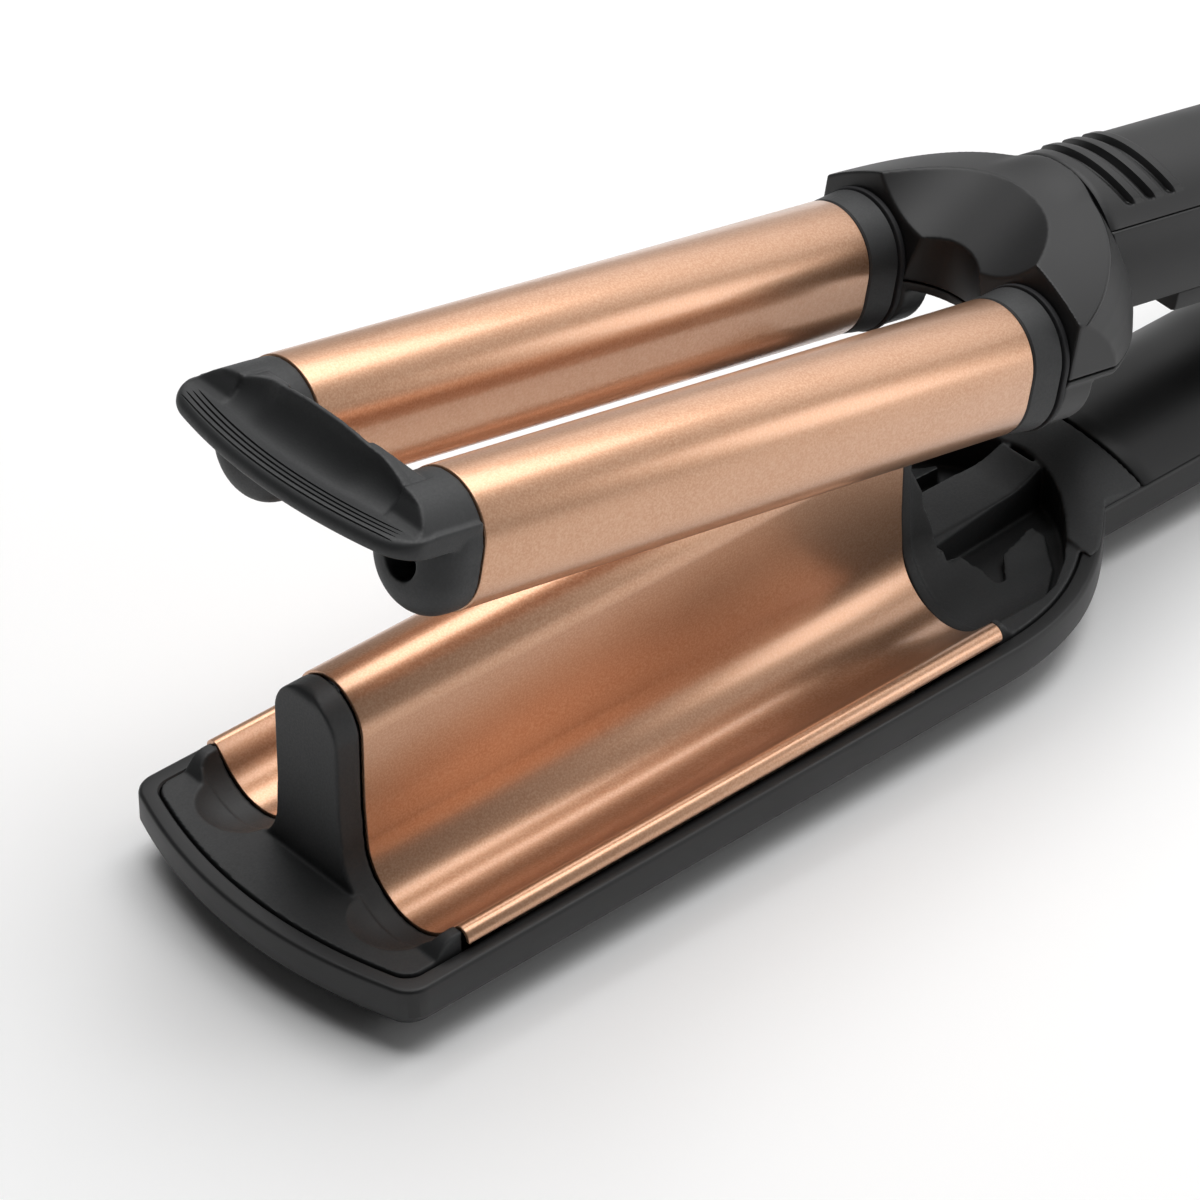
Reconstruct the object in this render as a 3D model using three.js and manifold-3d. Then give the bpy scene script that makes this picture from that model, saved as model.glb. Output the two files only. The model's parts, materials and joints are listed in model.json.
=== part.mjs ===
// Hair waver: two heated barrels on a sprung upper jaw close into a wave-shaped plate below.
// Millimetres, +X towards the hinge and cord, +Y to the far side, +Z up, resting on the lower shell.
// Drawing coordinates: x = 0 at the plate's front end, y = 0 on the middle plane, z = 0 near its lips.
// The upper jaw is drawn shut in the same coordinates and then swung open about the hinge pin.
import * as THREE from 'three';
import { mergeVertices } from 'three/addons/utils/BufferGeometryUtils.js';
import Module from 'manifold-3d';

const wasm = await Module();
wasm.setup();

// Clearances
const fit = 0.3;                  // between pieces that seat against each other
const slideFit = 0.35;            // round a button, a pin or the cord gland
const shutGap = 1.0;              // between barrels and plate when the jaws are shut
const padGap = 1.0;               // between the two grips when the jaws are shut

// Barrels
const barrelRadius = 9.8;
const barrelFlat = 4;             // straight part between the two half rounds
const barrelLength = 119.7;
const barrelWall = 1.0;
const barrelStart = 2.3;
const barrelY = 19.4;
const barrelLowZ = 5.0;           // centre of the lower half round
const barrelHeater = { half: 2.6, halfHeight: 8.2, length: 94 };

// Wave plate
const plateLength = 117.2;
const plateSheet = 0.8;
const ridgeHalf = 8.1;
const ridgeTop = 32.5;
const lipHalf = 33;               // half width over the two lips
const lipRoll = 2.0;              // radius of the rolled lip
const lipTop = 0.8;
const plateHeater = { length: 90, half: 7, thick: 2.6 };
const ridgeHeater = { half: 2.3, low: 2.4, height: 24 };
const plateSensor = { gap: 2, length: 5, half: 1.5 };
const thermalFuse = { gap: 1.5, length: 6.5, radius: 1.3 };
const coreInset = 4;
const carrier = { inset: 6, half: 26, thick: 2.4, ribInset: 20, footInset: 12, footRadius: 3 };

// Lower shell
const shellHalf = 35.2;
const shellFront = -20.5;         // foremost point of the bowed front
const shellBow = 7;               // how far the front corners fall back
const shellCorner = 5;
const rimZ = -3.0;
const rimWidth = 3.2;
const shellWallDepth = 5.5;       // upright part of the side wall
const shellDepth = 13.5;          // rim to underside
const shellFloorWall = 2.3;
const bellyTurn = [[11, 0], [7, 1.5], [2.6, 4.5]];   // inset and height above the underside
const rimChamfer = 0.7;
const shoulderStart = 118;
const shoulderEnd = 158;
const shoulderPull = { side: 19, neck: 11, spread: 10 };
const tailReach = 23.5;           // from the hinge pin to the end of the tail
const tailCorner = 10;
const tailDeckZ = 1.4;
const tailWall = 5;

// Inserts
const insertThick = 6.5;
const insertDrop = 0.4;           // how far the inserts lie below the plate's surface
const noseFront = -5.3;
const noseChamfer = 1.6;
const cornerBlockFront = -5.6;
const cornerBlockTop = -3.0;      // where the block's slope meets its top
const cornerBlockInner = 26.5;
const scoopReach = 6.6;           // how far the scoops run ahead of the valley's last round
const scoopX = -4.5;
const endLip = 2.2;               // rim of the rear insert that frames the plate's end
const bowlEnd = 131;              // where the valley drops into the pocket
const bowlDrop = 0.8;
const pocketFloorZ = -7.5;
const pocketRamp = { topZ: -6, outline: [[136.5, 12.7], [146.4, 11.4], [143.7, 17.1], [134.3, 25.7]] };
const spineHalf = 6.4;
const spineNarrow = 4.8;          // half width where the spine meets the neck
const spineTopZ = -0.8;
const neckCrestZ = 4.0;
const neckRise = [[-11, 0], [-8, 0.4], [-4, 1.8], [0, 3.6], [4, 4.7]];   // from shoulderEnd, spineTopZ

// Grips
const gripHalf = 17;              // half width, and the radius of the upper grip's back
const upperCrownZ = 28.8;
const gripStart = 154;
const gripToHinge = 13.5;         // from the grips' rear end to the hinge pin
const gripWall = 2.4;
const seamAngle = 53;             // from the crown down to the upper grip's side seam, in degrees
const coverStart = 164;
const coverCrestZ = 4.8;
const coverWall = 2.2;
const padStart = 172;
const padHalf = 16;
const padSkirtZ = 3.6;
const lowerScrewStart = 204;
const upperScrewStart = 186;
const screwInset = 15;            // of the rear screws from the grips' end
const screwPost = 3;
const screwHead = { radius: 2.5, height: 1.5 };
const screwShank = { radius: 1.2, length: 8 };
const stopPad = { radius: 2, x: 214, y: 4.5, thick: 1.6 };
const gripGroove = { first: 157.8, pitch: 5, width: 1.8, depth: 0.9, angle: 38, count: 3 };

// Hub, where the barrels meet the upper grip
const hubFront = 130;
const hubHalf = 30.2;
const hubRear = 158;
const hubOval = { x: 118, footReach: 46.4, footHalf: 35, edgeReach: 36, edgeHalf: 32.6, bulge: 2 };
const hubCrownZ = 27;
const hubCrownRadius = 54;
const hubBlendX = 142;            // from here the crown rises to meet the grip's back
const hubSplitZ = 7.7;
const hubFloorZ = 5.6;
const hubWall = 2.6;
const hubScoop = { lowZ: 16.35, slope: 0.8, curl: 0.00118, half: 23 };
const hubNotch = { x: 122.1, radius: 12.3, draft: 0.21 };
const hubBossEnd = 137;
const bossRadius = 10.3;
const collarRadius = 10.4;
const ringLength = 1.1;
const ringRadius = 10.7;

// Front bridge
const bridge = {
  front: -18.3, bow: 4.4, halfWidth: 27.8, corner: 3.6, rimZ: 14.3, rimDepth: 6, lip: 3.5,
  crestZ: 22, crestX: -7.4, crestHalf: 25.6, rear: -6.4, shoulderZ: 17.6, shoulderX: -1.5,
};
const capFront = -5.8;
const capRounding = [[0, 0.35], [0.5, 0.62], [1.6, 0.83], [3.6, 0.96], [5.6, 1]];   // depth, share of radius
const bridgeScrew = { z: 5.4, hole: 3.5, radius: 2.6, depth: 6 };
const cheek = {
  front: -10.8, lowZ: 11, roof: [[-7, 19], [-8, 17], [-9.4, 15], [-10.8, 14.2]],
  corner: [[-11.5, 24], [-10.6, 26.8], [-9, 28.3]],
};

// Hinge
const hingeX = 310.5;
const hingeZ = 11.65;
const openAngle = 11.16;          // degrees between the shut and the resting pose
const knuckleRadius = 9;
const knuckleHalf = 9.6;
const pinRadius = 3;
const hingeCap = { radius: 6, thick: 2.2 };
const springCoil = { inner: 3.9, outer: 6.0, half: 6.0 };

// Controls
const buttonRadius = 5;
const buttonFlange = 1.1;         // the flange's height and its width beyond the button
const buttonTravel = 0.8;
const buttonProud = 1.0;
const powerButtonX = 205;
const buttonPitch = 17;
const boardTopZ = 18.6;
const boardThick = 1.6;
const boardHalf = 10.5;
const boardMargin = 8;            // from the board's ends to the first and last thing on it
const boardPostRadius = 1.8;
const switchSize = 6;
const switchHeight = 3.2;
const plungerHeight = 0.5;
const lightPipe = { length: 10, half: 1.5 };
const powerBoard = { start: 212, half: 10.5, z: -9, postInset: 6, postY: 5, screwGap: 8 };
const filterCan = { at: 0.34, y: -1, halfX: 7, halfY: 6, height: 9 };
const relayCan = { at: 0.645, y: 1.5, halfX: 4, halfY: 5.5, height: 8 };
const capacitor = { at: 0.855, radius: 4, height: 8.5 };

// Cord inlet
const glandRadius = 6;
const glandFlange = 2;
const glandBore = 2.7;
const glandZ = -7.5;
const glandReach = 7;             // how far the gland stands out of the tail

// Drawing steps on round stretches
const arcSteps = 12;

// Sizes that follow from the ones above
const barrelHighZ = barrelLowZ + barrelFlat;
const barrelMidZ = (barrelLowZ + barrelHighZ) / 2;
const barrelEnd = barrelStart + barrelLength;
const barrelBore = barrelRadius - barrelWall;
const spigotRadius = barrelBore - fit;
const valleyRadius = barrelRadius + shutGap;
const valleyY = barrelY - 0.1;
const valleyBottomZ = barrelLowZ - valleyRadius;
const plateMiddle = plateLength / 2;
const rearStart = plateLength + fit;
const floorZ = rimZ - shellDepth;
const innerFloorZ = floorZ + shellFloorWall;
const insertInset = rimWidth + fit;
const insertHalf = shellHalf - insertInset;
const insertTopZ = rimZ + fit;
const insertFloorZ = insertTopZ - insertThick;
const neckEnd = coverStart - fit;
const gripEnd = hingeX - gripToHinge;
const tailEnd = hingeX + tailReach;
const glandEnd = tailEnd + glandReach;
const lowerScrewX = [lowerScrewStart, gripEnd - screwInset];
const upperScrewX = [upperScrewStart, gripEnd - screwInset];
const powerBoardEnd = lowerScrewX[1] - powerBoard.screwGap;
const powerPostX = [powerBoard.start + powerBoard.postInset, powerBoardEnd - powerBoard.postInset];
const upperCentreZ = upperCrownZ - gripHalf;
const gripInner = gripHalf - gripWall;
const seamZ = upperCentreZ + gripHalf * Math.cos(THREE.MathUtils.degToRad(seamAngle));
const coverEnd = gripEnd - 1;
const coverEdgeZ = rimZ + fit;
const coverHalf = gripHalf - 0.1;
const coverRise = coverCrestZ - coverEdgeZ;
const coverRadius = (coverHalf ** 2 + coverRise ** 2) / (2 * coverRise);
const coverCentreZ = coverCrestZ - coverRadius;
const earRadius = knuckleRadius + 0.5;
const earInner = knuckleHalf + fit;
const earOuter = gripHalf - 0.2;
const hubWallInner = hubFront + hubWall;
const collarEnd = hubFront - ringLength - 2 * fit;
const boardX = [powerButtonX - boardMargin, powerButtonX + 3 * buttonPitch + boardMargin];
const boardPostX = [boardX[0] + 3, boardX[1] - 3];
const switchTopZ = boardTopZ + fit + switchHeight + plungerHeight;
const buttonFootZ = switchTopZ + buttonTravel + fit;
const boxMiddleX = (shellFront + glandEnd) / 2;

const { degToRad } = THREE.MathUtils;
const axisX = new THREE.Vector3(1, 0, 0);
const axisY = new THREE.Vector3(0, 1, 0);
const axisZ = new THREE.Vector3(0, 0, 1);

// Finishes
const finishes = {
  copper: { color: 0xc98a66, roughness: 0.38, metalness: 0.85 },
  matteBlack: { color: 0x232324, roughness: 0.72, metalness: 0 },
  satinBlack: { color: 0x19191a, roughness: 0.42, metalness: 0 },
  steel: { color: 0xb9bbbd, roughness: 0.35, metalness: 1 },
  aluminium: { color: 0xc7c9cb, roughness: 0.5, metalness: 1 },
  ceramic: { color: 0xdcd8cc, roughness: 0.8, metalness: 0 },
  board: { color: 0x1f5a3a, roughness: 0.6, metalness: 0 },
  lens: { color: 0xd8dde0, roughness: 0.25, metalness: 0 },
  silicone: { color: 0x2c2c2e, roughness: 0.85, metalness: 0 },
};

// Outline helpers: an outline is a list of [a, b] points
function arc(centreA, centreB, radius, fromDeg, toDeg, steps = arcSteps) {
  return Array.from({ length: steps + 1 }, (_, i) => {
    const t = degToRad(fromDeg + (toDeg - fromDeg) * i / steps);
    return [centreA + radius * Math.cos(t), centreB + radius * Math.sin(t)];
  });
}

function withoutDoubles(points) {
  return points.filter(([a, b], i) => {
    const [beforeA, beforeB] = points[(i + points.length - 1) % points.length];
    return Math.hypot(a - beforeA, b - beforeB) > 1e-3;
  });
}

const toVectors = (points) => withoutDoubles(points).map(([a, b]) => new THREE.Vector2(a, b));

function stadium(y, radius) {
  return [...arc(y, barrelHighZ, radius, 0, 180), ...arc(y, barrelLowZ, radius, 180, 360)];
}

// The upper grip's section: round back, flat underside at the hub's split line
function gripSection(radius, lowZ, highZ) {
  const lowAngle = Math.asin((lowZ - upperCentreZ) / radius) * 180 / Math.PI;
  const highAngle = Math.asin(Math.min(1, (highZ - upperCentreZ) / radius)) * 180 / Math.PI;
  return [
    ...arc(0, upperCentreZ, radius, lowAngle, highAngle, 10),
    ...arc(0, upperCentreZ, radius, 180 - highAngle, 180 - lowAngle, 10),
  ];
}

// Solids made by pushing an outline along one axis
function push(points, holes, depth, basis) {
  const shape = new THREE.Shape(toVectors(points));
  shape.holes = holes.map((hole) => new THREE.Path(toVectors(hole)));
  const geometry = new THREE.ExtrudeGeometry(shape, { depth, bevelEnabled: false });
  return geometry.applyMatrix4(new THREE.Matrix4().makeBasis(...basis));
}

function alongX(points, x0, x1, holes = []) {
  return push(points, holes, x1 - x0, [axisY, axisZ, axisX]).translate(x0, 0, 0);
}

function alongY(points, y0, y1, holes = []) {
  return push(points, holes, y1 - y0, [axisX, axisZ, axisY.clone().negate()]).translate(0, y1, 0);
}

function alongZ(points, z0, z1, holes = []) {
  return push(points, holes, z1 - z0, [axisX, axisY, axisZ]).translate(0, 0, z0);
}

function block(x0, x1, y0, y1, z0, z1) {
  const geometry = new THREE.BoxGeometry(x1 - x0, y1 - y0, z1 - z0);
  return geometry.translate((x0 + x1) / 2, (y0 + y1) / 2, (z0 + z1) / 2);
}

const rodX = (x0, x1, y, z, r, steps = 20) => alongX(arc(y, z, r, 0, 360, steps), x0, x1);
const rodY = (x, z, y0, y1, r, steps = 20) => alongY(arc(x, z, r, 0, 360, steps), y0, y1);
const rodZ = (x, y, z0, z1, r, steps = 20) => alongZ(arc(x, y, r, 0, 360, steps), z0, z1);

// A body of revolution about an upright axis, from [radius, z] points listed upwards
function turned(x, y, profile, steps = 20) {
  const points = profile.map(([r, z]) => new THREE.Vector2(r, z));
  return new THREE.LatheGeometry(points, steps).rotateX(Math.PI / 2).translate(x, y, 0);
}

// A skin over rings with equally many points, closed by two flat ends
function loft(rings, flatten) {
  const count = rings[0].length;
  const index = [];
  for (let k = 0; k + 1 < rings.length; k += 1) {
    for (let i = 0; i < count; i += 1) {
      const a = k * count + i;
      const b = k * count + (i + 1) % count;
      index.push(a, b, b + count, a, b + count, a + count);
    }
  }
  const last = (rings.length - 1) * count;
  for (const [a, b, c] of THREE.ShapeUtils.triangulateShape(rings[0].map(flatten), [])) {
    index.push(c, b, a);
  }
  for (const [a, b, c] of THREE.ShapeUtils.triangulateShape(rings.at(-1).map(flatten), [])) {
    index.push(last + a, last + b, last + c);
  }
  const geometry = new THREE.BufferGeometry();
  geometry.setAttribute('position', new THREE.Float32BufferAttribute(rings.flat(2), 3));
  geometry.setIndex(index);
  return geometry;
}

const loftUp = (rings) => loft(rings, ([x, y]) => new THREE.Vector2(x, y));
const loftRearward = (rings) => loft(rings, ([, y, z]) => new THREE.Vector2(y, z));
const stadiumRing = (x, y, radius) => withoutDoubles(stadium(y, radius)).map(([a, b]) => [x, a, b]);

// Booleans: each takes geometries or solids and gives a solid
function bare(geometry) {
  const positions = new THREE.BufferGeometry();
  positions.setAttribute('position', geometry.getAttribute('position'));
  positions.setIndex(geometry.getIndex());
  return mergeVertices(positions, 1e-4);
}

function solid(shape) {
  if (!shape.isBufferGeometry) {
    return shape;
  }
  const merged = bare(shape);
  return new wasm.Manifold(new wasm.Mesh({
    numProp: 3,
    vertProperties: new Float32Array(merged.getAttribute('position').array),
    triVerts: new Uint32Array(merged.getIndex().array),
  }));
}

function geometryOf(shape) {
  if (shape.isBufferGeometry) {
    return bare(shape);
  }
  const mesh = shape.getMesh();
  const geometry = new THREE.BufferGeometry();
  geometry.setAttribute('position', new THREE.BufferAttribute(mesh.vertProperties, 3));
  geometry.setIndex(new THREE.BufferAttribute(mesh.triVerts, 1));
  return geometry;
}

const join = (...shapes) => shapes.map(solid).reduce((a, b) => a.add(b));
const common = (...shapes) => shapes.map(solid).reduce((a, b) => a.intersect(b));
const cut = (body, ...shapes) => shapes.map(solid).reduce((a, b) => a.subtract(b), solid(body));

// The same shape on the other side of the middle plane
function mirrored(shape) {
  const other = geometryOf(shape).clone().scale(1, -1, 1);
  const index = Array.from(other.getIndex().array);
  for (let i = 0; i < index.length; i += 3) {
    [index[i], index[i + 1]] = [index[i + 1], index[i]];
  }
  other.setIndex(index);
  return other;
}

const bothSides = (shape) => [shape, mirrored(shape)];

const model = new THREE.Group();
const lowerJaw = new THREE.Group();
const upperJaw = new THREE.Group();

function piece(group, name, shape, finish) {
  const geometry = geometryOf(shape);
  geometry.computeVertexNormals();
  const mesh = new THREE.Mesh(geometry, new THREE.MeshStandardMaterial(finishes[finish]));
  mesh.name = name;
  group.add(mesh);
}

function piecePair(group, name, farShape, finish) {
  piece(group, `${name}_far`, farShape, finish);
  piece(group, `${name}_near`, mirrored(farShape), finish);
}

// Plan outline of the lower shell, drawn in by an even inset
function hullHalf(inset) {
  const half = shellHalf - inset;
  const neck = gripHalf - inset;
  const corner = Math.max(shellCorner - 0.35 * inset, 1.5);
  const turn = 155;
  const bowAt = (y) => shellFront + inset + shellBow * (y / shellHalf) ** 2;
  const cornerY = half - corner;
  const bowEnd = cornerY + corner * Math.sin(degToRad(turn));
  const cornerX = bowAt(bowEnd) - corner * Math.cos(degToRad(turn));
  const shoulder = new THREE.CubicBezierCurve(
    new THREE.Vector2(shoulderStart, half),
    new THREE.Vector2(shoulderStart + shoulderPull.side - 0.3 * inset, half),
    new THREE.Vector2(
      shoulderEnd - shoulderPull.neck - 0.6 * inset,
      neck + shoulderPull.spread + 0.2 * inset,
    ),
    new THREE.Vector2(shoulderEnd - 0.3 * inset, neck),
  );
  const tailRadius = tailCorner - 0.5 * inset;
  return [
    ...Array.from({ length: 6 }, (_, i) => [bowAt(bowEnd * i / 6), bowEnd * i / 6]),
    ...arc(cornerX, cornerY, corner, turn, 90, 5),
    ...shoulder.getPoints(9).map((p) => [p.x, p.y]),
    ...arc(tailEnd - inset - tailRadius, neck - tailRadius, tailRadius, 90, 0, 5),
  ];
}

function hullOutline(inset) {
  const half = hullHalf(inset);
  return [...half, ...half.slice(1).map(([x, y]) => [x, -y]).reverse()].reverse();
}

const hullRing = (inset, z) => hullOutline(inset).map(([x, y]) => [x, y, z]);

// Half of the wave plate's upper surface from lip to crest, lowered by a drop
function waveHalf(drop) {
  const lipY = lipHalf - lipRoll;
  const lipZ = lipTop - lipRoll;
  return [
    ...arc(lipY, lipZ, lipRoll - drop, -12, 112, 6),
    ...arc(valleyY, barrelLowZ, valleyRadius + drop, -42, -180, 16),
    [ridgeHalf - drop, barrelLowZ + 6],
    ...arc(0, ridgeTop - ridgeHalf, ridgeHalf - drop, 0, 90, 8),
  ];
}

function waveSection(drop) {
  const half = waveHalf(drop);
  return [...half, ...half.slice(0, -1).map(([y, z]) => [-y, z]).reverse()];
}

function underWave(drop, lowZ, halfWidth) {
  const top = waveSection(drop).filter(([y]) => Math.abs(y) < halfWidth);
  return [[halfWidth, lowZ], [halfWidth, top[0][1]], ...top, [-halfWidth, top[0][1]], [-halfWidth, lowZ]];
}

// Lower shell: hull-shaped tray that runs on as the lower grip and ends in the hinge ears
const shellOuter = loftUp([
  ...bellyTurn.map(([inset, rise]) => hullRing(inset, floorZ + rise)),
  hullRing(0, rimZ - shellWallDepth),
  hullRing(0, rimZ - rimChamfer),
  hullRing(rimChamfer, rimZ),
]);
const bellyInset = bellyTurn[0][0];
const shellHollow = common(
  loftUp([
    hullRing(bellyInset, innerFloorZ),
    hullRing((bellyInset + rimWidth) / 2 - 1, innerFloorZ + 2.7),
    hullRing(rimWidth, insertFloorZ - fit),
    hullRing(rimWidth, rimZ + 1),
  ]),
  block(shellFront, coverEnd - 3, -shellHalf, shellHalf, floorZ, rimZ + 1),
);
const earOutline = [
  [hingeX - 13, rimZ - 2],
  ...arc(hingeX, hingeZ, earRadius, 155, 15, 10),
  [hingeX + 13, rimZ - 2],
];
const tailDeck = common(
  loftUp([hullRing(0.4, rimZ - 1), hullRing(0.4, tailDeckZ - 1.5), hullRing(1.8, tailDeckZ)]),
  block(coverEnd + fit, tailEnd, -gripHalf, gripHalf, rimZ - 1, tailDeckZ),
);
const postFootZ = innerFloorZ - 0.5;
const coverPost = (x) => rodZ(x, 0, postFootZ, coverCrestZ - 4.6, screwPost, 16);
const boardPost = (x) => (
  rodZ(x, powerBoard.postY, postFootZ, powerBoard.z - fit, boardPostRadius, 12)
);
const lowerShell = cut(
  join(
    cut(
      join(shellOuter, tailDeck, ...bothSides(alongY(earOutline, earInner, earOuter))),
      shellHollow,
    ),
    ...lowerScrewX.map(coverPost),
    ...powerPostX.flatMap((x) => bothSides(boardPost(x))),
  ),
  rodX(coverEnd + 4, tailEnd - tailWall, 0, glandZ, glandRadius + glandFlange + fit),
  rodX(coverEnd - 6, tailEnd + 1, 0, glandZ, glandRadius + slideFit),
  rodY(hingeX, hingeZ, -gripHalf, gripHalf, pinRadius + slideFit),
  ...bothSides(rodY(hingeX, hingeZ, earOuter - hingeCap.thick, gripHalf, hingeCap.radius + fit)),
  rodY(hingeX, hingeZ, -earInner, earInner, knuckleRadius + 1),
  ...lowerScrewX.map((x) => rodZ(x, 0, innerFloorZ + 1, coverCrestZ, screwShank.radius + fit, 12)),
);
piece(lowerJaw, 'lower_shell', lowerShell, 'satinBlack');

// Front insert: nose, scoops and the blocks at the plate's front corners
const insertEdge = (inset) => hullOutline(insertInset + inset);
const scoop = new THREE.SphereGeometry(valleyRadius, 28, 18)
  .rotateX(Math.PI / 2)
  .scale(scoopReach / Math.sqrt(valleyRadius ** 2 - (barrelLowZ - insertTopZ) ** 2), 1, 1)
  .translate(scoopX, valleyY, barrelLowZ);
const valleyRun = (x0, x1, grow) => alongX(
  arc(valleyY, barrelLowZ, valleyRadius + grow, 0, 360, 40),
  x0,
  x1,
);
const cornerBlock = alongY(
  [
    [cornerBlockFront, insertTopZ - 1],
    [cornerBlockFront, insertTopZ + 0.3],
    [cornerBlockTop, insertDrop],
    [-fit, insertDrop],
    [-fit, insertTopZ - 1],
  ],
  cornerBlockInner,
  insertHalf,
);
const noseProfile = [
  [noseFront, insertFloorZ],
  [noseFront, ridgeTop - insertDrop - noseChamfer],
  [noseFront + noseChamfer, ridgeTop - insertDrop],
  [-fit, ridgeTop - insertDrop],
  [-fit, insertFloorZ],
];
const nose = common(
  alongY(noseProfile, -valleyY, valleyY),
  alongX(underWave(insertDrop, insertFloorZ, valleyY), noseFront, -fit),
);
const frontInsert = cut(
  join(
    common(
      alongZ(insertEdge(0), insertFloorZ, insertTopZ),
      block(shellFront, -fit, -shellHalf, shellHalf, insertFloorZ, insertTopZ),
    ),
    nose,
    ...bothSides(cornerBlock),
  ),
  ...bothSides(scoop),
  ...bothSides(valleyRun(scoopX, 1, insertDrop)),
);
piece(lowerJaw, 'front_insert', frontInsert, 'matteBlack');

// Wave plate: one formed sheet with a ridge and two valleys
const plateSection = [...waveSection(0), ...waveSection(plateSheet).reverse()];
piece(lowerJaw, 'wave_plate', alongX(plateSection, 0, plateLength), 'copper');

// Rear insert: lip round the plate's end, bowl, falling spine, a pocket on each side, and the neck
const spineProfile = [
  [rearStart, insertFloorZ],
  [rearStart, ridgeTop - insertDrop],
  [rearStart + endLip, ridgeTop - 1.4],
  [rearStart + endLip + 0.1, 18.6],
  [rearStart + 3.7, 15.9],
  [rearStart + 5.3, 12.5],
  [rearStart + 5.9, 8.9],
  [rearStart + 7.7, 4.1],
  [rearStart + 8.1, spineTopZ],
  [shoulderEnd - 4, spineTopZ],
  [shoulderEnd - 4, insertFloorZ],
];
const spinePlan = [
  [rearStart, -insertHalf],
  [bowlEnd, -insertHalf],
  [bowlEnd, -spineHalf],
  [shoulderEnd - 4, -spineNarrow],
  [shoulderEnd - 4, spineNarrow],
  [bowlEnd, spineHalf],
  [bowlEnd, insertHalf],
  [rearStart, insertHalf],
];
const bowlHalf = cornerBlockInner;
const spine = common(
  join(
    alongX(underWave(insertDrop, insertFloorZ, bowlHalf), rearStart, rearStart + endLip),
    alongX(underWave(bowlDrop, insertFloorZ, bowlHalf), rearStart, bowlEnd),
    alongX(
      [[-spineHalf, insertFloorZ], [spineHalf, insertFloorZ], [spineHalf, 9], [-spineHalf, 9]],
      bowlEnd - 1,
      shoulderEnd - 4,
    ),
  ),
  alongY(spineProfile, -insertHalf, insertHalf),
  alongZ(spinePlan, insertFloorZ, ridgeTop),
);
const rearCorner = alongY(
  [
    [rearStart, insertTopZ - 1],
    [rearStart, insertDrop],
    [rearStart + endLip / 2, insertDrop],
    [rearStart + 2 * endLip, insertTopZ - 1],
  ],
  bowlHalf,
  insertHalf,
);
const ramp = alongZ(pocketRamp.outline, insertFloorZ, pocketRamp.topZ);
const pocket = cut(
  common(
    alongZ(insertEdge(1), pocketFloorZ, insertTopZ + 1),
    block(bowlEnd, shoulderEnd - 5, 0, shellHalf, pocketFloorZ, insertTopZ + 1),
  ),
  alongZ(spinePlan, insertFloorZ, insertTopZ + 2),
  ramp,
);
const bowlFloor = alongX(
  arc(valleyY, barrelLowZ, valleyRadius + bowlDrop, 0, 360, 40),
  rearStart,
  bowlEnd + 0.01,
);
const neckArc = (crestZ) => [
  ...arc(0, crestZ - coverRadius, coverRadius, 48, 132, 16),
  [-20, insertTopZ],
  [20, insertTopZ],
];
const neckStart = shoulderEnd + neckRise[0][0];
const neck = common(
  alongX(neckArc(neckCrestZ), neckStart, neckEnd),
  alongZ(hullOutline(0.3), insertTopZ, neckCrestZ + 1),
  alongY(
    [
      [neckStart, insertTopZ],
      ...neckRise.map(([x, rise]) => [shoulderEnd + x, spineTopZ + rise]),
      [neckEnd, neckCrestZ],
      [neckEnd, insertTopZ],
    ].reverse(),
    -insertHalf,
    insertHalf,
  ),
);
const neckTongue = common(
  alongZ(insertEdge(0), insertFloorZ, insertTopZ + 1),
  block(rearStart, neckEnd, -shellHalf, shellHalf, insertFloorZ, insertTopZ),
);
const rearInsert = join(
  cut(join(neckTongue, neck), ...bothSides(pocket), ...bothSides(bowlFloor)),
  spine,
  ...bothSides(cut(rearCorner, valleyRun(rearStart - 1, bowlEnd, insertDrop))),
);
piece(lowerJaw, 'rear_insert', rearInsert, 'matteBlack');

// Heaters under the plate and the frame that holds them
const heaterTopZ = valleyBottomZ - plateSheet - fit;
const heaterFootZ = heaterTopZ - plateHeater.thick;
const heaterX = [plateMiddle - plateHeater.length / 2, plateMiddle + plateHeater.length / 2];
piecePair(
  lowerJaw,
  'plate_heater',
  block(...heaterX, valleyY - plateHeater.half, valleyY + plateHeater.half, heaterFootZ, heaterTopZ),
  'ceramic',
);
const coreHalf = ridgeHalf - plateSheet - fit;
const coreFootZ = ridgeHeater.low - 2;
const coreOutline = [
  [-coreHalf, coreFootZ],
  [coreHalf, coreFootZ],
  ...arc(0, ridgeTop - ridgeHalf, coreHalf, 0, 180, 12),
];
const slotGap = ridgeHeater.half + fit;
const coreSlot = [
  [-slotGap, ridgeHeater.low - fit],
  [slotGap, ridgeHeater.low - fit],
  [slotGap, ridgeHeater.low + ridgeHeater.height + fit],
  [-slotGap, ridgeHeater.low + ridgeHeater.height + fit],
];
piece(
  lowerJaw,
  'ridge_core',
  alongX(coreOutline, coreInset, plateLength - coreInset, [coreSlot]),
  'aluminium',
);
piece(
  lowerJaw,
  'ridge_heater',
  block(
    ...heaterX,
    -ridgeHeater.half,
    ridgeHeater.half,
    ridgeHeater.low,
    ridgeHeater.low + ridgeHeater.height,
  ),
  'ceramic',
);
const carrierTopZ = heaterFootZ - fit;
const carrierLowZ = carrierTopZ - carrier.thick;
const carrierRibHalf = coreHalf - 0.5;
const carrierFoot = (x) => (
  rodZ(x, valleyY - 4, innerFloorZ + fit, carrierLowZ + 0.5, carrier.footRadius, 12)
);
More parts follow.
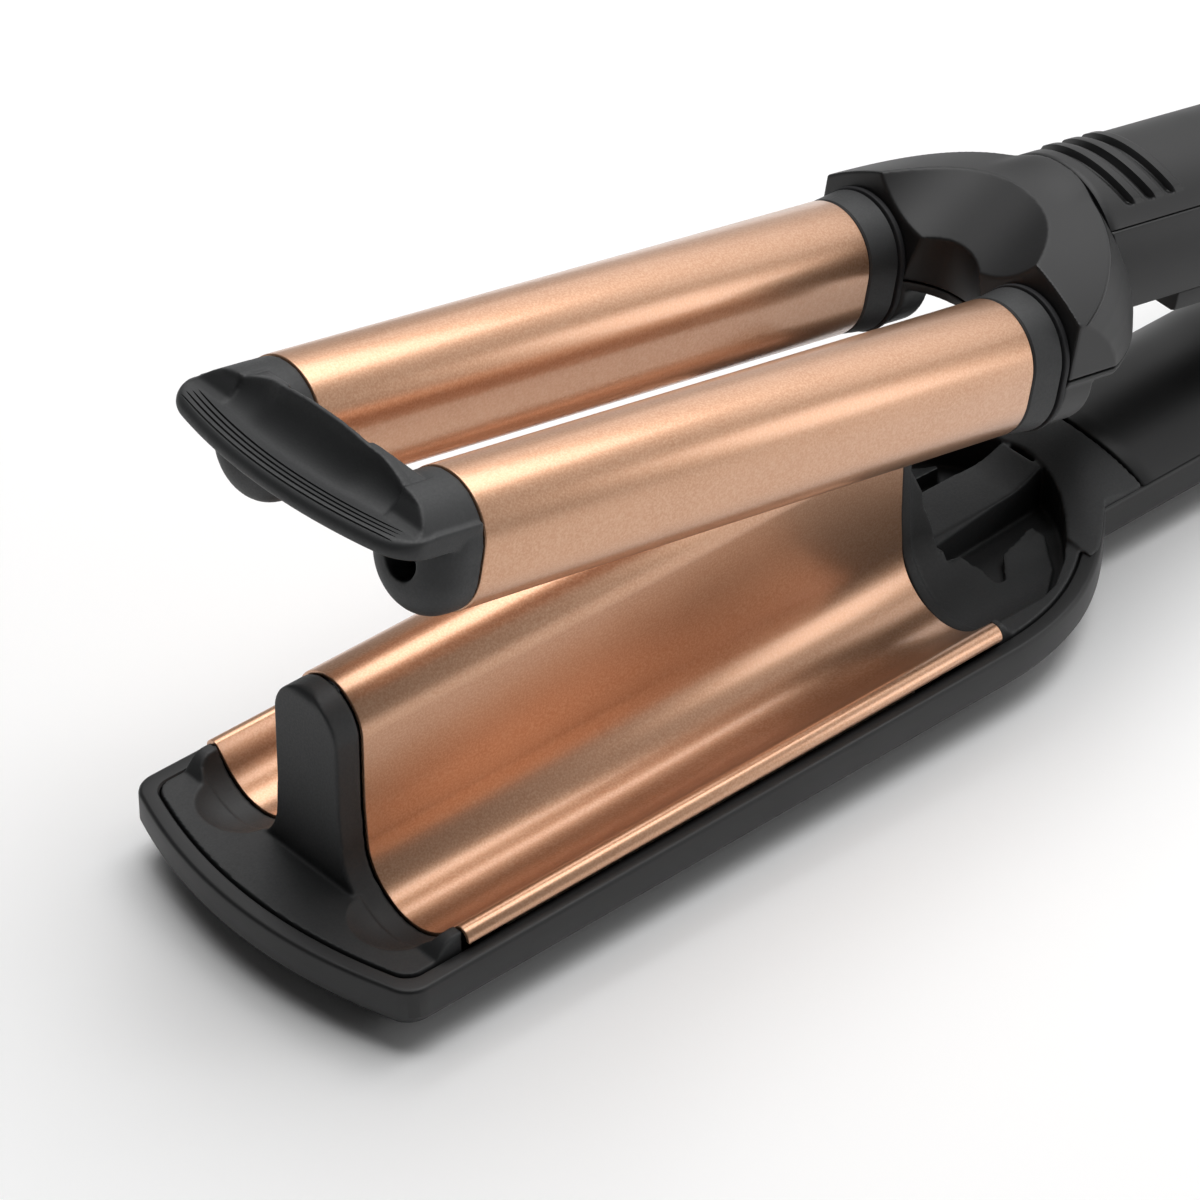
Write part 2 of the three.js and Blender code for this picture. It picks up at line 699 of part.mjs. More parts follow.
piece(
  lowerJaw,
  'plate_carrier',
  join(
    block(
      carrier.inset,
      plateLength - carrier.inset,
      -carrier.half,
      carrier.half,
      carrierLowZ,
      carrierTopZ,
    ),
    block(
      carrier.ribInset,
      plateLength - carrier.ribInset,
      -carrierRibHalf,
      carrierRibHalf,
      carrierTopZ - 0.5,
      coreFootZ - fit,
    ),
    ...bothSides(carrierFoot(carrier.footInset)),
    ...bothSides(carrierFoot(plateLength - carrier.footInset)),
  ),
  'matteBlack',
);
const sensorStart = heaterX[1] + plateSensor.gap;
piece(
  lowerJaw,
  'plate_thermistor',
  block(
    sensorStart,
    sensorStart + plateSensor.length,
    valleyY - plateSensor.half,
    valleyY + plateSensor.half,
    heaterFootZ,
    heaterTopZ,
  ),
  'ceramic',
);
const fuseStart = heaterX[1] + thermalFuse.gap;
const fuseZ = heaterTopZ - thermalFuse.radius;
piece(
  lowerJaw,
  'thermal_fuse',
  rodX(fuseStart, fuseStart + thermalFuse.length, -valleyY, fuseZ, thermalFuse.radius, 12),
  'steel',
);

// Mains board in the lower grip; each tall part stands at a share of the board's length
const boardPlaceX = (part) => powerBoard.start + part.at * (powerBoardEnd - powerBoard.start);
const boardCan = (can) => block(
  boardPlaceX(can) - can.halfX,
  boardPlaceX(can) + can.halfX,
  can.y - can.halfY,
  can.y + can.halfY,
  powerBoard.z + 1,
  powerBoard.z + can.height,
);
piece(
  lowerJaw,
  'power_board',
  join(
    block(
      powerBoard.start,
      powerBoardEnd,
      -powerBoard.half,
      powerBoard.half,
      powerBoard.z,
      powerBoard.z + boardThick,
    ),
    boardCan(filterCan),
    boardCan(relayCan),
    rodZ(
      boardPlaceX(capacitor),
      0,
      powerBoard.z + 1,
      powerBoard.z + capacitor.height,
      capacitor.radius,
      16,
    ),
  ),
  'board',
);

// Cover of the lower grip, its screws and the two rubber stops
const coverArc = (drop) => arc(0, coverCentreZ, coverRadius - drop, 90 - 48, 90 + 48, 14);
const coverOuter = coverArc(0).filter(([, z]) => z > coverEdgeZ);
const coverInner = coverArc(coverWall).filter(([, z]) => z > coverEdgeZ);
const innerEdge = Math.sqrt((coverRadius - coverWall) ** 2 - (coverEdgeZ - coverCentreZ) ** 2);
const coverSection = [
  [coverHalf, coverEdgeZ],
  ...coverOuter,
  [-coverHalf, coverEdgeZ],
  [-innerEdge, coverEdgeZ],
  ...coverInner.reverse(),
  [innerEdge, coverEdgeZ],
];
const coverSurfaceZ = (y) => coverCentreZ + Math.sqrt(coverRadius ** 2 - y ** 2);
const stopTopZ = coverSurfaceZ(stopPad.y + stopPad.radius) + padGap - fit;
const stopSeatZ = stopTopZ - stopPad.thick;
const cover = cut(
  join(
    alongX(coverSection, coverStart, coverEnd),
    ...lowerScrewX.map((x) => rodZ(x, 0, coverCrestZ - 4.3, coverCrestZ - 1, 4.4)),
  ),
  ...lowerScrewX.map((x) => rodZ(x, 0, coverCrestZ - 2.6, coverCrestZ + 1, screwHead.radius + fit)),
  ...lowerScrewX.map((x) => rodZ(x, 0, coverCrestZ - 6, coverCrestZ, screwShank.radius + fit, 12)),
  ...bothSides(rodZ(stopPad.x, stopPad.y, stopSeatZ - fit, coverCrestZ + 1, stopPad.radius + fit)),
);
piece(lowerJaw, 'lower_handle_cover', cover, 'satinBlack');
const lowerScrew = (x) => join(
  rodZ(x, 0, coverCrestZ - 2.3, coverCrestZ - 2.3 + screwHead.height, screwHead.radius),
  rodZ(x, 0, coverCrestZ - 2.3 - screwShank.length, coverCrestZ - 2, screwShank.radius, 12),
);
lowerScrewX.forEach((x, i) => piece(lowerJaw, `lower_screw_${i + 1}`, lowerScrew(x), 'steel'));
piecePair(
  lowerJaw,
  'stop_pad',
  rodZ(stopPad.x, stopPad.y, stopSeatZ, stopTopZ, stopPad.radius),
  'silicone',
);

// Hinge pin, its caps and the spring that opens the jaws
const capInnerY = earOuter - hingeCap.thick + fit;
piece(lowerJaw, 'hinge_pin', rodY(hingeX, hingeZ, fit - capInnerY, capInnerY - fit, pinRadius), 'steel');
piecePair(lowerJaw, 'hinge_cap', rodY(hingeX, hingeZ, capInnerY, earOuter, hingeCap.radius), 'satinBlack');
const springRing = arc(hingeX, hingeZ, springCoil.outer, 0, 360, 24);
const springBore = arc(hingeX, hingeZ, springCoil.inner, 0, 360, 24);
const springShape = alongY(springRing, -springCoil.half, springCoil.half, [springBore]);
piece(lowerJaw, 'hinge_spring', springShape, 'steel');

// Swivelling cord gland, with its bore open for the cord
const glandProfile = [
  [glandBore, tailEnd - tailWall - 4],
  [glandRadius + glandFlange, tailEnd - tailWall - 4],
  [glandRadius + glandFlange, tailEnd - tailWall - fit],
  [glandRadius, tailEnd - tailWall - fit],
  [glandRadius, tailEnd + 1.5],
  [glandRadius - 0.6, tailEnd + 2.5],
  [glandRadius - 1, glandEnd],
  [glandBore, glandEnd],
  [glandBore, tailEnd - tailWall - 4],
];
const gland = new THREE.LatheGeometry(glandProfile.map(([r, x]) => new THREE.Vector2(r, x)), 20)
  .rotateZ(-Math.PI / 2)
  .translate(0, 0, glandZ);
piece(lowerJaw, 'cord_gland', gland, 'matteBlack');

// Barrels with their heaters
piecePair(
  upperJaw,
  'barrel',
  alongX(stadium(barrelY, barrelRadius), barrelStart, barrelEnd, [stadium(barrelY, barrelBore)]),
  'copper',
);
const spigotLength = 5;
const coreX = [barrelStart + spigotLength + fit, barrelEnd - spigotLength - fit];
const coreMiddle = (coreX[0] + coreX[1]) / 2;
const heaterBox = (grow) => [
  [barrelY - barrelHeater.half - grow, barrelMidZ - barrelHeater.halfHeight - grow],
  [barrelY + barrelHeater.half + grow, barrelMidZ - barrelHeater.halfHeight - grow],
  [barrelY + barrelHeater.half + grow, barrelMidZ + barrelHeater.halfHeight + grow],
  [barrelY - barrelHeater.half - grow, barrelMidZ + barrelHeater.halfHeight + grow],
];
piecePair(
  upperJaw,
  'barrel_core',
  alongX(stadium(barrelY, spigotRadius), ...coreX, [heaterBox(fit)]),
  'aluminium',
);
piecePair(
  upperJaw,
  'barrel_heater',
  alongX(heaterBox(0), coreMiddle - barrelHeater.length / 2, coreMiddle + barrelHeater.length / 2),
  'ceramic',
);

// Collars and seal rings between the barrels and the hub
const collarStart = barrelEnd + fit;
const collar = cut(
  loftRearward([
    stadiumRing(barrelEnd - spigotLength, barrelY, spigotRadius),
    stadiumRing(collarStart, barrelY, spigotRadius),
    stadiumRing(collarStart, barrelY, barrelRadius),
    stadiumRing(collarEnd, barrelY, collarRadius),
    stadiumRing(collarEnd, barrelY, spigotRadius),
    stadiumRing(hubWallInner + 1, barrelY, spigotRadius),
  ]),
  alongX(stadium(barrelY, spigotRadius - 1.8), barrelStart, hubBossEnd),
);
piecePair(upperJaw, 'barrel_collar', collar, 'matteBlack');
piecePair(
  upperJaw,
  'collar_ring',
  alongX(
    stadium(barrelY, ringRadius),
    collarEnd + fit,
    collarEnd + fit + ringLength,
    [stadium(barrelY, barrelBore)],
  ),
  'silicone',
);

// Front bridge: finger rest joining the two barrel caps
const bridgeBow = (y) => bridge.front + bridge.bow * (y / bridge.halfWidth) ** 2;
const bridgeSide = bridge.halfWidth - bridge.corner;
const bridgeCornerX = bridgeBow(bridgeSide + 1.5) + bridge.corner;
const bridgeFrontHalf = [
  ...Array.from({ length: 7 }, (_, i) => [bridgeBow(bridgeSide * i / 7), bridgeSide * i / 7]),
  ...arc(bridgeCornerX, bridgeSide, bridge.corner, 160, 90, 5),
];
const bridgePlan = (rearX) => [
  ...bridgeFrontHalf.slice(1).map(([x, y]) => [x, -y]).reverse(),
  ...bridgeFrontHalf,
  [rearX, bridge.halfWidth],
  [rearX, -bridge.halfWidth],
];
const rimUnderZ = bridge.rimZ - bridge.lip;
const bridgeProfile = [
  [bridge.front - 1, rimUnderZ + 1],
  [bridge.front + 1, rimUnderZ],
  [bridge.rear, rimUnderZ - 0.5],
  [bridge.rear, bridge.crestZ],
  [bridge.crestX, bridge.crestZ],
  [bridge.crestX - 0.9, bridge.crestZ - 2.9],
  [bridge.crestX - 2.4, bridge.rimZ + 2],
  [bridge.front + bridge.rimDepth, bridge.rimZ + 0.4],
  [bridge.front + bridge.rimDepth - 1.5, bridge.rimZ],
  [bridge.front - 1, bridge.rimZ],
];
const archHalf = Array.from({ length: 9 }, (_, i) => {
  const share = i / 8;
  return [bridge.crestHalf * share, bridge.crestZ - (bridge.crestZ - bridge.rimZ - 0.3) * share ** 2.5];
});
const archSection = [
  [bridge.halfWidth, rimUnderZ - 2],
  [bridge.halfWidth, bridge.rimZ],
  ...archHalf.slice().reverse(),
  ...archHalf.slice(1).map(([y, z]) => [-y, z]),
  [-bridge.halfWidth, bridge.rimZ],
  [-bridge.halfWidth, rimUnderZ - 2],
];
const finger = common(
  alongY(bridgeProfile, -bridge.halfWidth, bridge.halfWidth),
  alongX(archSection, bridge.front - 1, bridge.rear),
  alongZ(bridgePlan(bridge.rear), rimUnderZ - 2, bridge.crestZ),
);
const capRadius = barrelRadius - 0.4;
const cap = loftRearward([
  ...capRounding.map(([depth, share]) => stadiumRing(capFront + depth, barrelY, capRadius * share)),
  stadiumRing(barrelStart - fit, barrelY, capRadius),
  stadiumRing(barrelStart - fit, barrelY, spigotRadius),
  stadiumRing(barrelStart + spigotLength - fit, barrelY, spigotRadius),
]);
const shoulderFront = bridge.rear - 0.5;
const capShoulder = common(
  alongY(
    [
      [shoulderFront, rimUnderZ],
      [bridge.shoulderX, rimUnderZ],
      [bridge.shoulderX, bridge.shoulderZ],
      [shoulderFront, bridge.crestZ],
    ],
    ridgeHalf + 1.7,
    barrelY + 3,
  ),
  alongX(archSection, shoulderFront, bridge.shoulderX),
);
const cheekTopZ = barrelHighZ + capRadius;
const capCheek = common(
  alongX(stadium(barrelY, capRadius), cheek.front, barrelStart - fit),
  alongY(
    [
      [cheek.front, cheek.lowZ],
      [barrelStart - fit, cheek.lowZ],
      [barrelStart - fit, cheekTopZ],
      ...cheek.roof,
    ],
    barrelY - capRadius,
    barrelY + capRadius,
  ),
  alongZ(
    [
      ...cheek.corner,
      [cheek.corner[2][0] + 2, barrelY + capRadius],
      [barrelStart, barrelY + capRadius],
      [barrelStart, barrelY],
      [cheek.corner[0][0], barrelY],
    ].reverse(),
    cheek.lowZ,
    cheekTopZ,
  ),
);
const bridgeRod = (x0, x1, radius) => rodX(x0, x1, barrelY, bridgeScrew.z, radius, 20);
const screwHole = bridgeRod(capFront - 1, capFront + bridgeScrew.depth, bridgeScrew.hole);
const shankHole = bridgeRod(capFront, barrelStart, screwShank.radius + fit);
const frontBridge = cut(
  join(finger, ...bothSides(cap), ...bothSides(capCheek), ...bothSides(capShoulder)),
  ...bothSides(screwHole),
  ...bothSides(shankHole),
);
piece(upperJaw, 'front_bridge', frontBridge, 'matteBlack');
const bridgeScrewHead = capFront + bridgeScrew.depth - fit;
const farBridgeScrew = join(
  bridgeRod(bridgeScrewHead - 1.2, bridgeScrewHead, bridgeScrew.radius),
  bridgeRod(bridgeScrewHead - 0.5, barrelStart - fit, screwShank.radius),
);
piecePair(upperJaw, 'bridge_screw', farBridgeScrew, 'steel');

// Hub: its foot and the edge of its crown are ovals in plan, with bulging flanks between them
function hubOutline(reach, half, inset) {
  const widest = Math.asin((hubHalf - inset) / (half - inset));
  const round = Array.from({ length: arcSteps + 1 }, (_, i) => {
    const t = widest * (1 - i / arcSteps);
    return [hubOval.x + (reach - inset) * Math.cos(t), (half - inset) * Math.sin(t)];
  });
  return [[hubOval.x, hubHalf - inset], ...round];
}

function hubCrownAt(x, y) {
  const dome = hubCrownZ - hubCrownRadius + Math.sqrt(hubCrownRadius ** 2 - y ** 2);
  const back = upperCentreZ + Math.sqrt(Math.max(0, gripHalf ** 2 - y ** 2));
  const share = THREE.MathUtils.smoothstep(x, hubBlendX, gripStart);
  return dome + share * Math.max(0, back - dome);
}

const hubRing = (half) => [...half, ...half.slice(0, -1).map(([x, y, z]) => [x, -y, z]).reverse()].reverse();
const hubFootRing = (inset, z) => (
  hubRing(hubOutline(hubOval.footReach, hubOval.footHalf, inset).map(([x, y]) => [x, y, z]))
);

function hubFlanks(inset) {
  const foot = hubOutline(hubOval.footReach, hubOval.footHalf, inset);
  const edge = hubOutline(hubOval.edgeReach, hubOval.edgeHalf, inset);
  const edgeZ = edge.map(([x, y]) => hubCrownAt(x, y) - inset);
  const between = (share, bulge) => hubRing(foot.map(([x, y], i) => [
    x + share * (edge[i][0] - x) + (i > 0 ? bulge : 0),
    y + share * (edge[i][1] - y),
    hubSplitZ + share * (edgeZ[i] - hubSplitZ),
  ]));
  return loftUp([between(0, 0), between(0.5, hubOval.bulge), between(1, 0), between(1.5, -2 * hubOval.bulge)]);
}

const crownRing = (x, drop) => [
  ...Array.from({ length: 25 }, (_, i) => {
    const y = (hubHalf + 4) * (1 - i / 12);
    return [x, y, hubCrownAt(x, y) - drop];
  }),
  [x, -hubHalf - 4, hubFloorZ],
  [x, hubHalf + 4, hubFloorZ],
];
const crownSteps = [0, 0.25, 0.5, 0.75, 1].map((share) => hubBlendX + share * (gripStart - hubBlendX));
const hubDome = (inset, front, drop) => common(
  hubFlanks(inset),
  loftRearward([front, ...crownSteps, hubRear].map((x) => crownRing(x, drop))),
);
const scoopFloorZ = (x, y) => (
  hubScoop.lowZ + hubScoop.slope * (x - hubFront) + hubScoop.curl * Math.abs(y) ** 3
);
const scoopRing = (x, drop) => {
  const topZ = scoopFloorZ(x, hubScoop.half) + 4;
  return [
    ...Array.from({ length: 25 }, (_, i) => {
      const y = hubScoop.half * (i / 12 - 1);
      return [x, y, scoopFloorZ(x, y) - drop];
    }),
    [x, hubScoop.half, topZ],
    [x, -hubScoop.half, topZ],
  ];
};
const scoopGutter = (drop) => loftRearward([scoopRing(hubFront - 4, drop), scoopRing(gripStart, drop)]);
const notchRadius = (z) => hubNotch.radius - hubNotch.draft * (z - hubSplitZ);
const notch = (grow, z0, z1) => new THREE.CylinderGeometry(
  notchRadius(z1) + grow,
  notchRadius(z0) + grow,
  z1 - z0,
  48,
).rotateX(Math.PI / 2).translate(hubNotch.x, 0, (z0 + z1) / 2);
const notchTopZ = hubCrownZ - 4;
const gripFloorZ = hubSplitZ;
const hubHollow = cut(
  join(
    hubDome(hubWall, hubWallInner, hubWall),
    alongX(gripSection(gripInner - hubWall, gripFloorZ, upperCrownZ), gripStart - 6, hubRear),
  ),
  scoopGutter(hubWall),
  notch(hubWall, hubFloorZ - 1, notchTopZ),
);
const barrelOpening = alongX(stadium(barrelY, barrelBore), hubFront - 1, hubWallInner + 1);
const hubTop = cut(
  hubDome(0, hubFront, 0),
  scoopGutter(0),
  hubHollow,
  notch(0, hubFloorZ - 1, notchTopZ),
  alongX(gripSection(gripHalf + fit, gripFloorZ - 1, upperCrownZ + 1), gripStart - fit, hubRear + 1),
  ...bothSides(barrelOpening),
);
piece(upperJaw, 'hub_top', hubTop, 'satinBlack');

const hubBoss = common(
  alongX(stadium(barrelY, bossRadius), hubFront, hubBossEnd),
  block(hubFront, hubBossEnd, 0, hubHalf, barrelLowZ - bossRadius, hubSplitZ - fit),
);
const hubBottom = cut(
  join(
    common(
      loftUp([
        hubFootRing(1.2, hubFloorZ),
        hubFootRing(0, hubFloorZ + 1.2),
        hubFootRing(0, hubSplitZ - fit),
      ]),
      block(hubFront, hubRear, -hubHalf, hubHalf, hubFloorZ, hubSplitZ),
    ),
    ...bothSides(hubBoss),
  ),
  ...bothSides(alongX(stadium(barrelY, barrelBore), hubFront - 1, hubBossEnd - 2)),
  notch(0, hubFloorZ - 12, hubSplitZ),
);
piece(upperJaw, 'hub_bottom', hubBottom, 'satinBlack');

// Upper grip: trough with the hinge knuckle, and its cap
const gripHollow = alongX(
  gripSection(gripInner, gripFloorZ + gripWall, upperCrownZ),
  gripStart - 1,
  gripEnd - 3.5,
);
const knuckle = join(
  rodY(hingeX, hingeZ, -knuckleHalf, knuckleHalf, knuckleRadius, 32),
  block(gripEnd - 2, hingeX, -knuckleHalf, knuckleHalf, gripFloorZ, hingeZ + knuckleRadius),
);
const upperHole = (x, z, depth, radius) => rodZ(x, 0, z, z + depth, radius + fit, 16);
const capPost = (x) => (
  rodZ(x, 0, gripFloorZ + gripWall + fit, upperCrownZ - gripWall / 2, screwPost, 16)
);
const gripBoardPost = (x) => (
  rodZ(x, boardHalf - 3, gripFloorZ + 1, boardTopZ - boardThick - fit, boardPostRadius, 12)
);
const gripTrough = cut(
  join(
    cut(alongX(gripSection(gripHalf, gripFloorZ, seamZ - fit / 2), gripStart, gripEnd), gripHollow),
    knuckle,
    ...boardPostX.flatMap((x) => bothSides(gripBoardPost(x))),
  ),
  rodY(hingeX, hingeZ, -gripHalf, gripHalf, pinRadius + slideFit),
  rodY(hingeX, hingeZ, -springCoil.half - fit, springCoil.half + fit, springCoil.outer + fit),
  ...upperScrewX.map((x) => upperHole(x, gripFloorZ - 1, screwHead.height + 1, screwHead.radius)),
  ...upperScrewX.map((x) => upperHole(x, gripFloorZ, 4, screwShank.radius)),
);
piece(upperJaw, 'upper_handle_trough', gripTrough, 'satinBlack');

const grooveAt = (i) => alongX(
  [
    ...arc(0, upperCentreZ, gripHalf + 1, 90 - gripGroove.angle, 90 + gripGroove.angle, 16),
    ...arc(0, upperCentreZ, gripHalf - gripGroove.depth, 90 + gripGroove.angle, 90 - gripGroove.angle, 16),
  ],
  gripGroove.first + i * gripGroove.pitch,
  gripGroove.first + i * gripGroove.pitch + gripGroove.width,
);
const buttonX = [0, 1, 2].map((i) => powerButtonX + i * buttonPitch);
const lightX = powerButtonX + 3 * buttonPitch;
const lightSlot = (grow) => block(
  lightX - lightPipe.length / 2 - grow,
  lightX + lightPipe.length / 2 + grow,
  -lightPipe.half - grow,
  lightPipe.half + grow,
  boardTopZ + fit - 10 * grow,
  upperCrownZ + 0.2 + 10 * grow,
);
const gripCap = cut(
  join(
    cut(
      alongX(gripSection(gripHalf, seamZ + fit / 2, upperCrownZ), gripStart, gripEnd),
      gripHollow,
    ),
    ...upperScrewX.map(capPost),
  ),
  ...Array.from({ length: gripGroove.count }, (_, i) => grooveAt(i)),
  ...buttonX.map((x) => rodZ(x, 0, seamZ, upperCrownZ + 1, buttonRadius + slideFit, 28)),
  lightSlot(fit),
  ...upperScrewX.map((x) => upperHole(x, gripFloorZ, screwShank.length + 2, screwShank.radius)),
);
piece(upperJaw, 'upper_handle_cap', gripCap, 'satinBlack');

const upperScrew = (x) => join(
  rodZ(x, 0, gripFloorZ, gripFloorZ + screwHead.height - fit, screwHead.radius),
  rodZ(x, 0, gripFloorZ + 1, gripFloorZ + 1 + screwShank.length, screwShank.radius, 12),
);
upperScrewX.forEach((x, i) => piece(upperJaw, `upper_screw_${i + 1}`, upperScrew(x), 'steel'));

// Pad under the upper grip, hollowed to lie over the lower grip's cover
const padArcRadius = coverRadius + padGap;
const padArcEdge = Math.sqrt(padArcRadius ** 2 - (padSkirtZ - coverCentreZ) ** 2);
const padArcAngle = Math.asin(padArcEdge / padArcRadius) * 180 / Math.PI;
const padSection = [
  [padHalf, padSkirtZ + 1],
  [padHalf, gripFloorZ - fit],
  [-padHalf, gripFloorZ - fit],
  [-padHalf, padSkirtZ + 1],
  [1 - padHalf, padSkirtZ],
  ...arc(0, coverCentreZ, padArcRadius, 90 + padArcAngle, 90 - padArcAngle, 12),
  [padHalf - 1, padSkirtZ],
];
piece(upperJaw, 'upper_handle_pad', alongX(padSection, padStart, gripEnd), 'satinBlack');

// Control board, its switches, the buttons over them and the light pipe
piece(
  upperJaw,
  'control_board',
  block(...boardX, -boardHalf, boardHalf, boardTopZ - boardThick, boardTopZ),
  'board',
);
const switchAt = (x) => join(
  block(
    x - switchSize / 2,
    x + switchSize / 2,
    -switchSize / 2,
    switchSize / 2,
    boardTopZ + fit,
    switchTopZ - plungerHeight,
  ),
  rodZ(x, 0, switchTopZ - 1, switchTopZ, 1.6, 12),
);
buttonX.forEach((x, i) => piece(upperJaw, `tact_switch_${i + 1}`, switchAt(x), 'steel'));
const buttonProfile = [
  [0, buttonFootZ],
  [buttonRadius + buttonFlange, buttonFootZ],
  [buttonRadius + buttonFlange, buttonFootZ + buttonFlange],
  [buttonRadius, buttonFootZ + buttonFlange],
  [buttonRadius, upperCrownZ + buttonProud - 0.6],
  [buttonRadius - 0.7, upperCrownZ + buttonProud],
  [0, upperCrownZ + buttonProud + 0.2],
];
['power_button', 'heat_up_button', 'heat_down_button'].forEach((name, i) => {
  piece(upperJaw, name, turned(buttonX[i], 0, buttonProfile), 'matteBlack');
});
piece(upperJaw, 'light_pipe', lightSlot(0), 'lens');

// The upper jaw swings open about the pin, and the whole part stands with its box's foot at the origin
upperJaw.position.set(-hingeX, 0, -hingeZ);
const swing = new THREE.Group();
swing.add(upperJaw);
swing.position.set(hingeX, 0, hingeZ);
swing.rotation.y = degToRad(openAngle);
model.add(lowerJaw, swing);
model.position.set(-boxMiddleX, 0, -floorZ);

export default model;
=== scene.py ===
import json
import math
from contextlib import contextmanager

import bmesh
import bpy
from mathutils import Matrix, Vector

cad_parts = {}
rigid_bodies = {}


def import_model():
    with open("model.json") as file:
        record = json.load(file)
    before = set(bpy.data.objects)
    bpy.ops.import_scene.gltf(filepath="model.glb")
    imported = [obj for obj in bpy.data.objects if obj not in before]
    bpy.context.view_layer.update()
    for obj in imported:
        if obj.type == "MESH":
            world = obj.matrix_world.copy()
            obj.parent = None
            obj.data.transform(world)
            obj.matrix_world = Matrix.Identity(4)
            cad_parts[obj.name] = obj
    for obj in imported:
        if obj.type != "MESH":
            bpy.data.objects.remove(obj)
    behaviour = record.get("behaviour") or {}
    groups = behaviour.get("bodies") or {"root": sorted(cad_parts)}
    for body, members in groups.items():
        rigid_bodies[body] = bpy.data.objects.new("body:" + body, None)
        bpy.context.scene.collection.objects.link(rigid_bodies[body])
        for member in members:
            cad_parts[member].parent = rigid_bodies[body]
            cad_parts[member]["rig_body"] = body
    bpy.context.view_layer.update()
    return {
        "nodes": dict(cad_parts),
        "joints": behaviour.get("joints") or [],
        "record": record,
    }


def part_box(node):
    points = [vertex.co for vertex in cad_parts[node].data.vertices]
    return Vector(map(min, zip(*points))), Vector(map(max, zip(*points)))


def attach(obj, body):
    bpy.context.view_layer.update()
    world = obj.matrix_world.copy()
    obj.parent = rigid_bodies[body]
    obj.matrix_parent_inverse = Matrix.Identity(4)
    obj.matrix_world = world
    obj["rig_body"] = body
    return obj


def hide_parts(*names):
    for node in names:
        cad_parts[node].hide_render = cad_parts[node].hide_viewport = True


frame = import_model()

bpy.ops.object.select_all(action="DESELECT")

# Where the drawing lies in the frame
MM = 0.001
RIDGE_TOP = 32.5
plate_low, plate_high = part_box("wave_plate")
LOWER = Matrix.Translation((plate_low.x, 0, plate_high.z - RIDGE_TOP * MM)) @ Matrix.Scale(MM, 4)
hinge = next(joint for joint in frame["joints"] if joint["name"] == "jaw_hinge")
HINGE_PLACE = Vector(hinge["pos_m"])
OPEN_ANGLE = math.radians(-hinge["range_deg"][0])
SWING = (
    Matrix.Translation(HINGE_PLACE)
    @ Matrix.Rotation(OPEN_ANGLE, 4, "Y")
    @ Matrix.Translation(-HINGE_PLACE)
)
UPPER = SWING @ LOWER
LOWER_BODIES = ("lower_jaw", "gland")


def body_of(node):
    return frame["nodes"][node]["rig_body"]


def seat_of(node):
    return LOWER if body_of(node) in LOWER_BODIES else UPPER


def drawn(node):
    """Lowest and highest corner of a CAD node in the drawing, in millimetres."""
    to_drawing = seat_of(node).inverted()
    points = [to_drawing @ vertex.co for vertex in frame["nodes"][node].data.vertices]
    low = Vector([min(point[i] for point in points) for i in range(3)])
    high = Vector([max(point[i] for point in points) for i in range(3)])
    return low, high


# Sizes read from the frame
barrel_low, barrel_high = drawn("barrel_far")
BARREL_R = (barrel_high.y - barrel_low.y) / 2
BARREL_Y = (barrel_high.y + barrel_low.y) / 2
STADIUM_LOW = barrel_low.z + BARREL_R
STADIUM_HIGH = barrel_high.z - BARREL_R
BARREL_START, BARREL_END = barrel_low.x, barrel_high.x
shell_low, shell_high = drawn("lower_shell")
SHELL_FRONT, SHELL_END = shell_low.x, shell_high.x
SHELL_HALF = shell_high.y
FLOOR_Z = shell_low.z
insert_low, insert_high = drawn("rear_insert")
INSERT_FLOOR = insert_low.z
NECK_END = insert_high.x
cover_low, cover_high = drawn("lower_handle_cover")
grip_low, grip_high = drawn("upper_handle_cap")
GRIP_START, GRIP_END = grip_low.x, grip_high.x
CROWN_Z = grip_high.z
GRIP_HALF = drawn("upper_handle_trough")[1].y
pad_low, pad_high = drawn("upper_handle_pad")
hub_low, hub_high = drawn("hub_top")
HUB_FRONT, HUB_HALF, HUB_SPLIT = hub_low.x, hub_high.y, hub_low.z
UNDER_LOW = drawn("hub_bottom")[0].z
bridge_low, bridge_high = drawn("front_bridge")
collar_low, collar_high = drawn("barrel_collar_far")
ring_low, ring_high = drawn("collar_ring_far")
HINGE_X = (HINGE_PLACE.x - LOWER.translation.x) / MM
HINGE_Z = (HINGE_PLACE.z - LOWER.translation.z) / MM
HINGE_AXIS = (HINGE_X, HINGE_Z)

# Sizes of the drawing that no box shows
FIT = 0.3
SHUT_GAP = 1.0
BARREL_WALL = 1.0

# Wave plate
SHEET = 0.8
PLATE_LENGTH = 117.2
VALLEY_R = BARREL_R + SHUT_GAP
VALLEY_Y = BARREL_Y - 0.1
RIDGE_HALF = 8.1
LIP_HALF = plate_high.y / MM
LIP_ROLL = 2.0
LIP_TOP = 0.8

# Lower shell
RIM_Z = -3.0
RIM_WIDTH = 3.2
RIM_ROUND = 0.8
WALL_FOOT = RIM_Z - 5.5
SHELL_BOW = 7
SHELL_CORNER = 5
SHOULDER_START = 118
SHOULDER_END = 158
TAIL_CORNER = 10

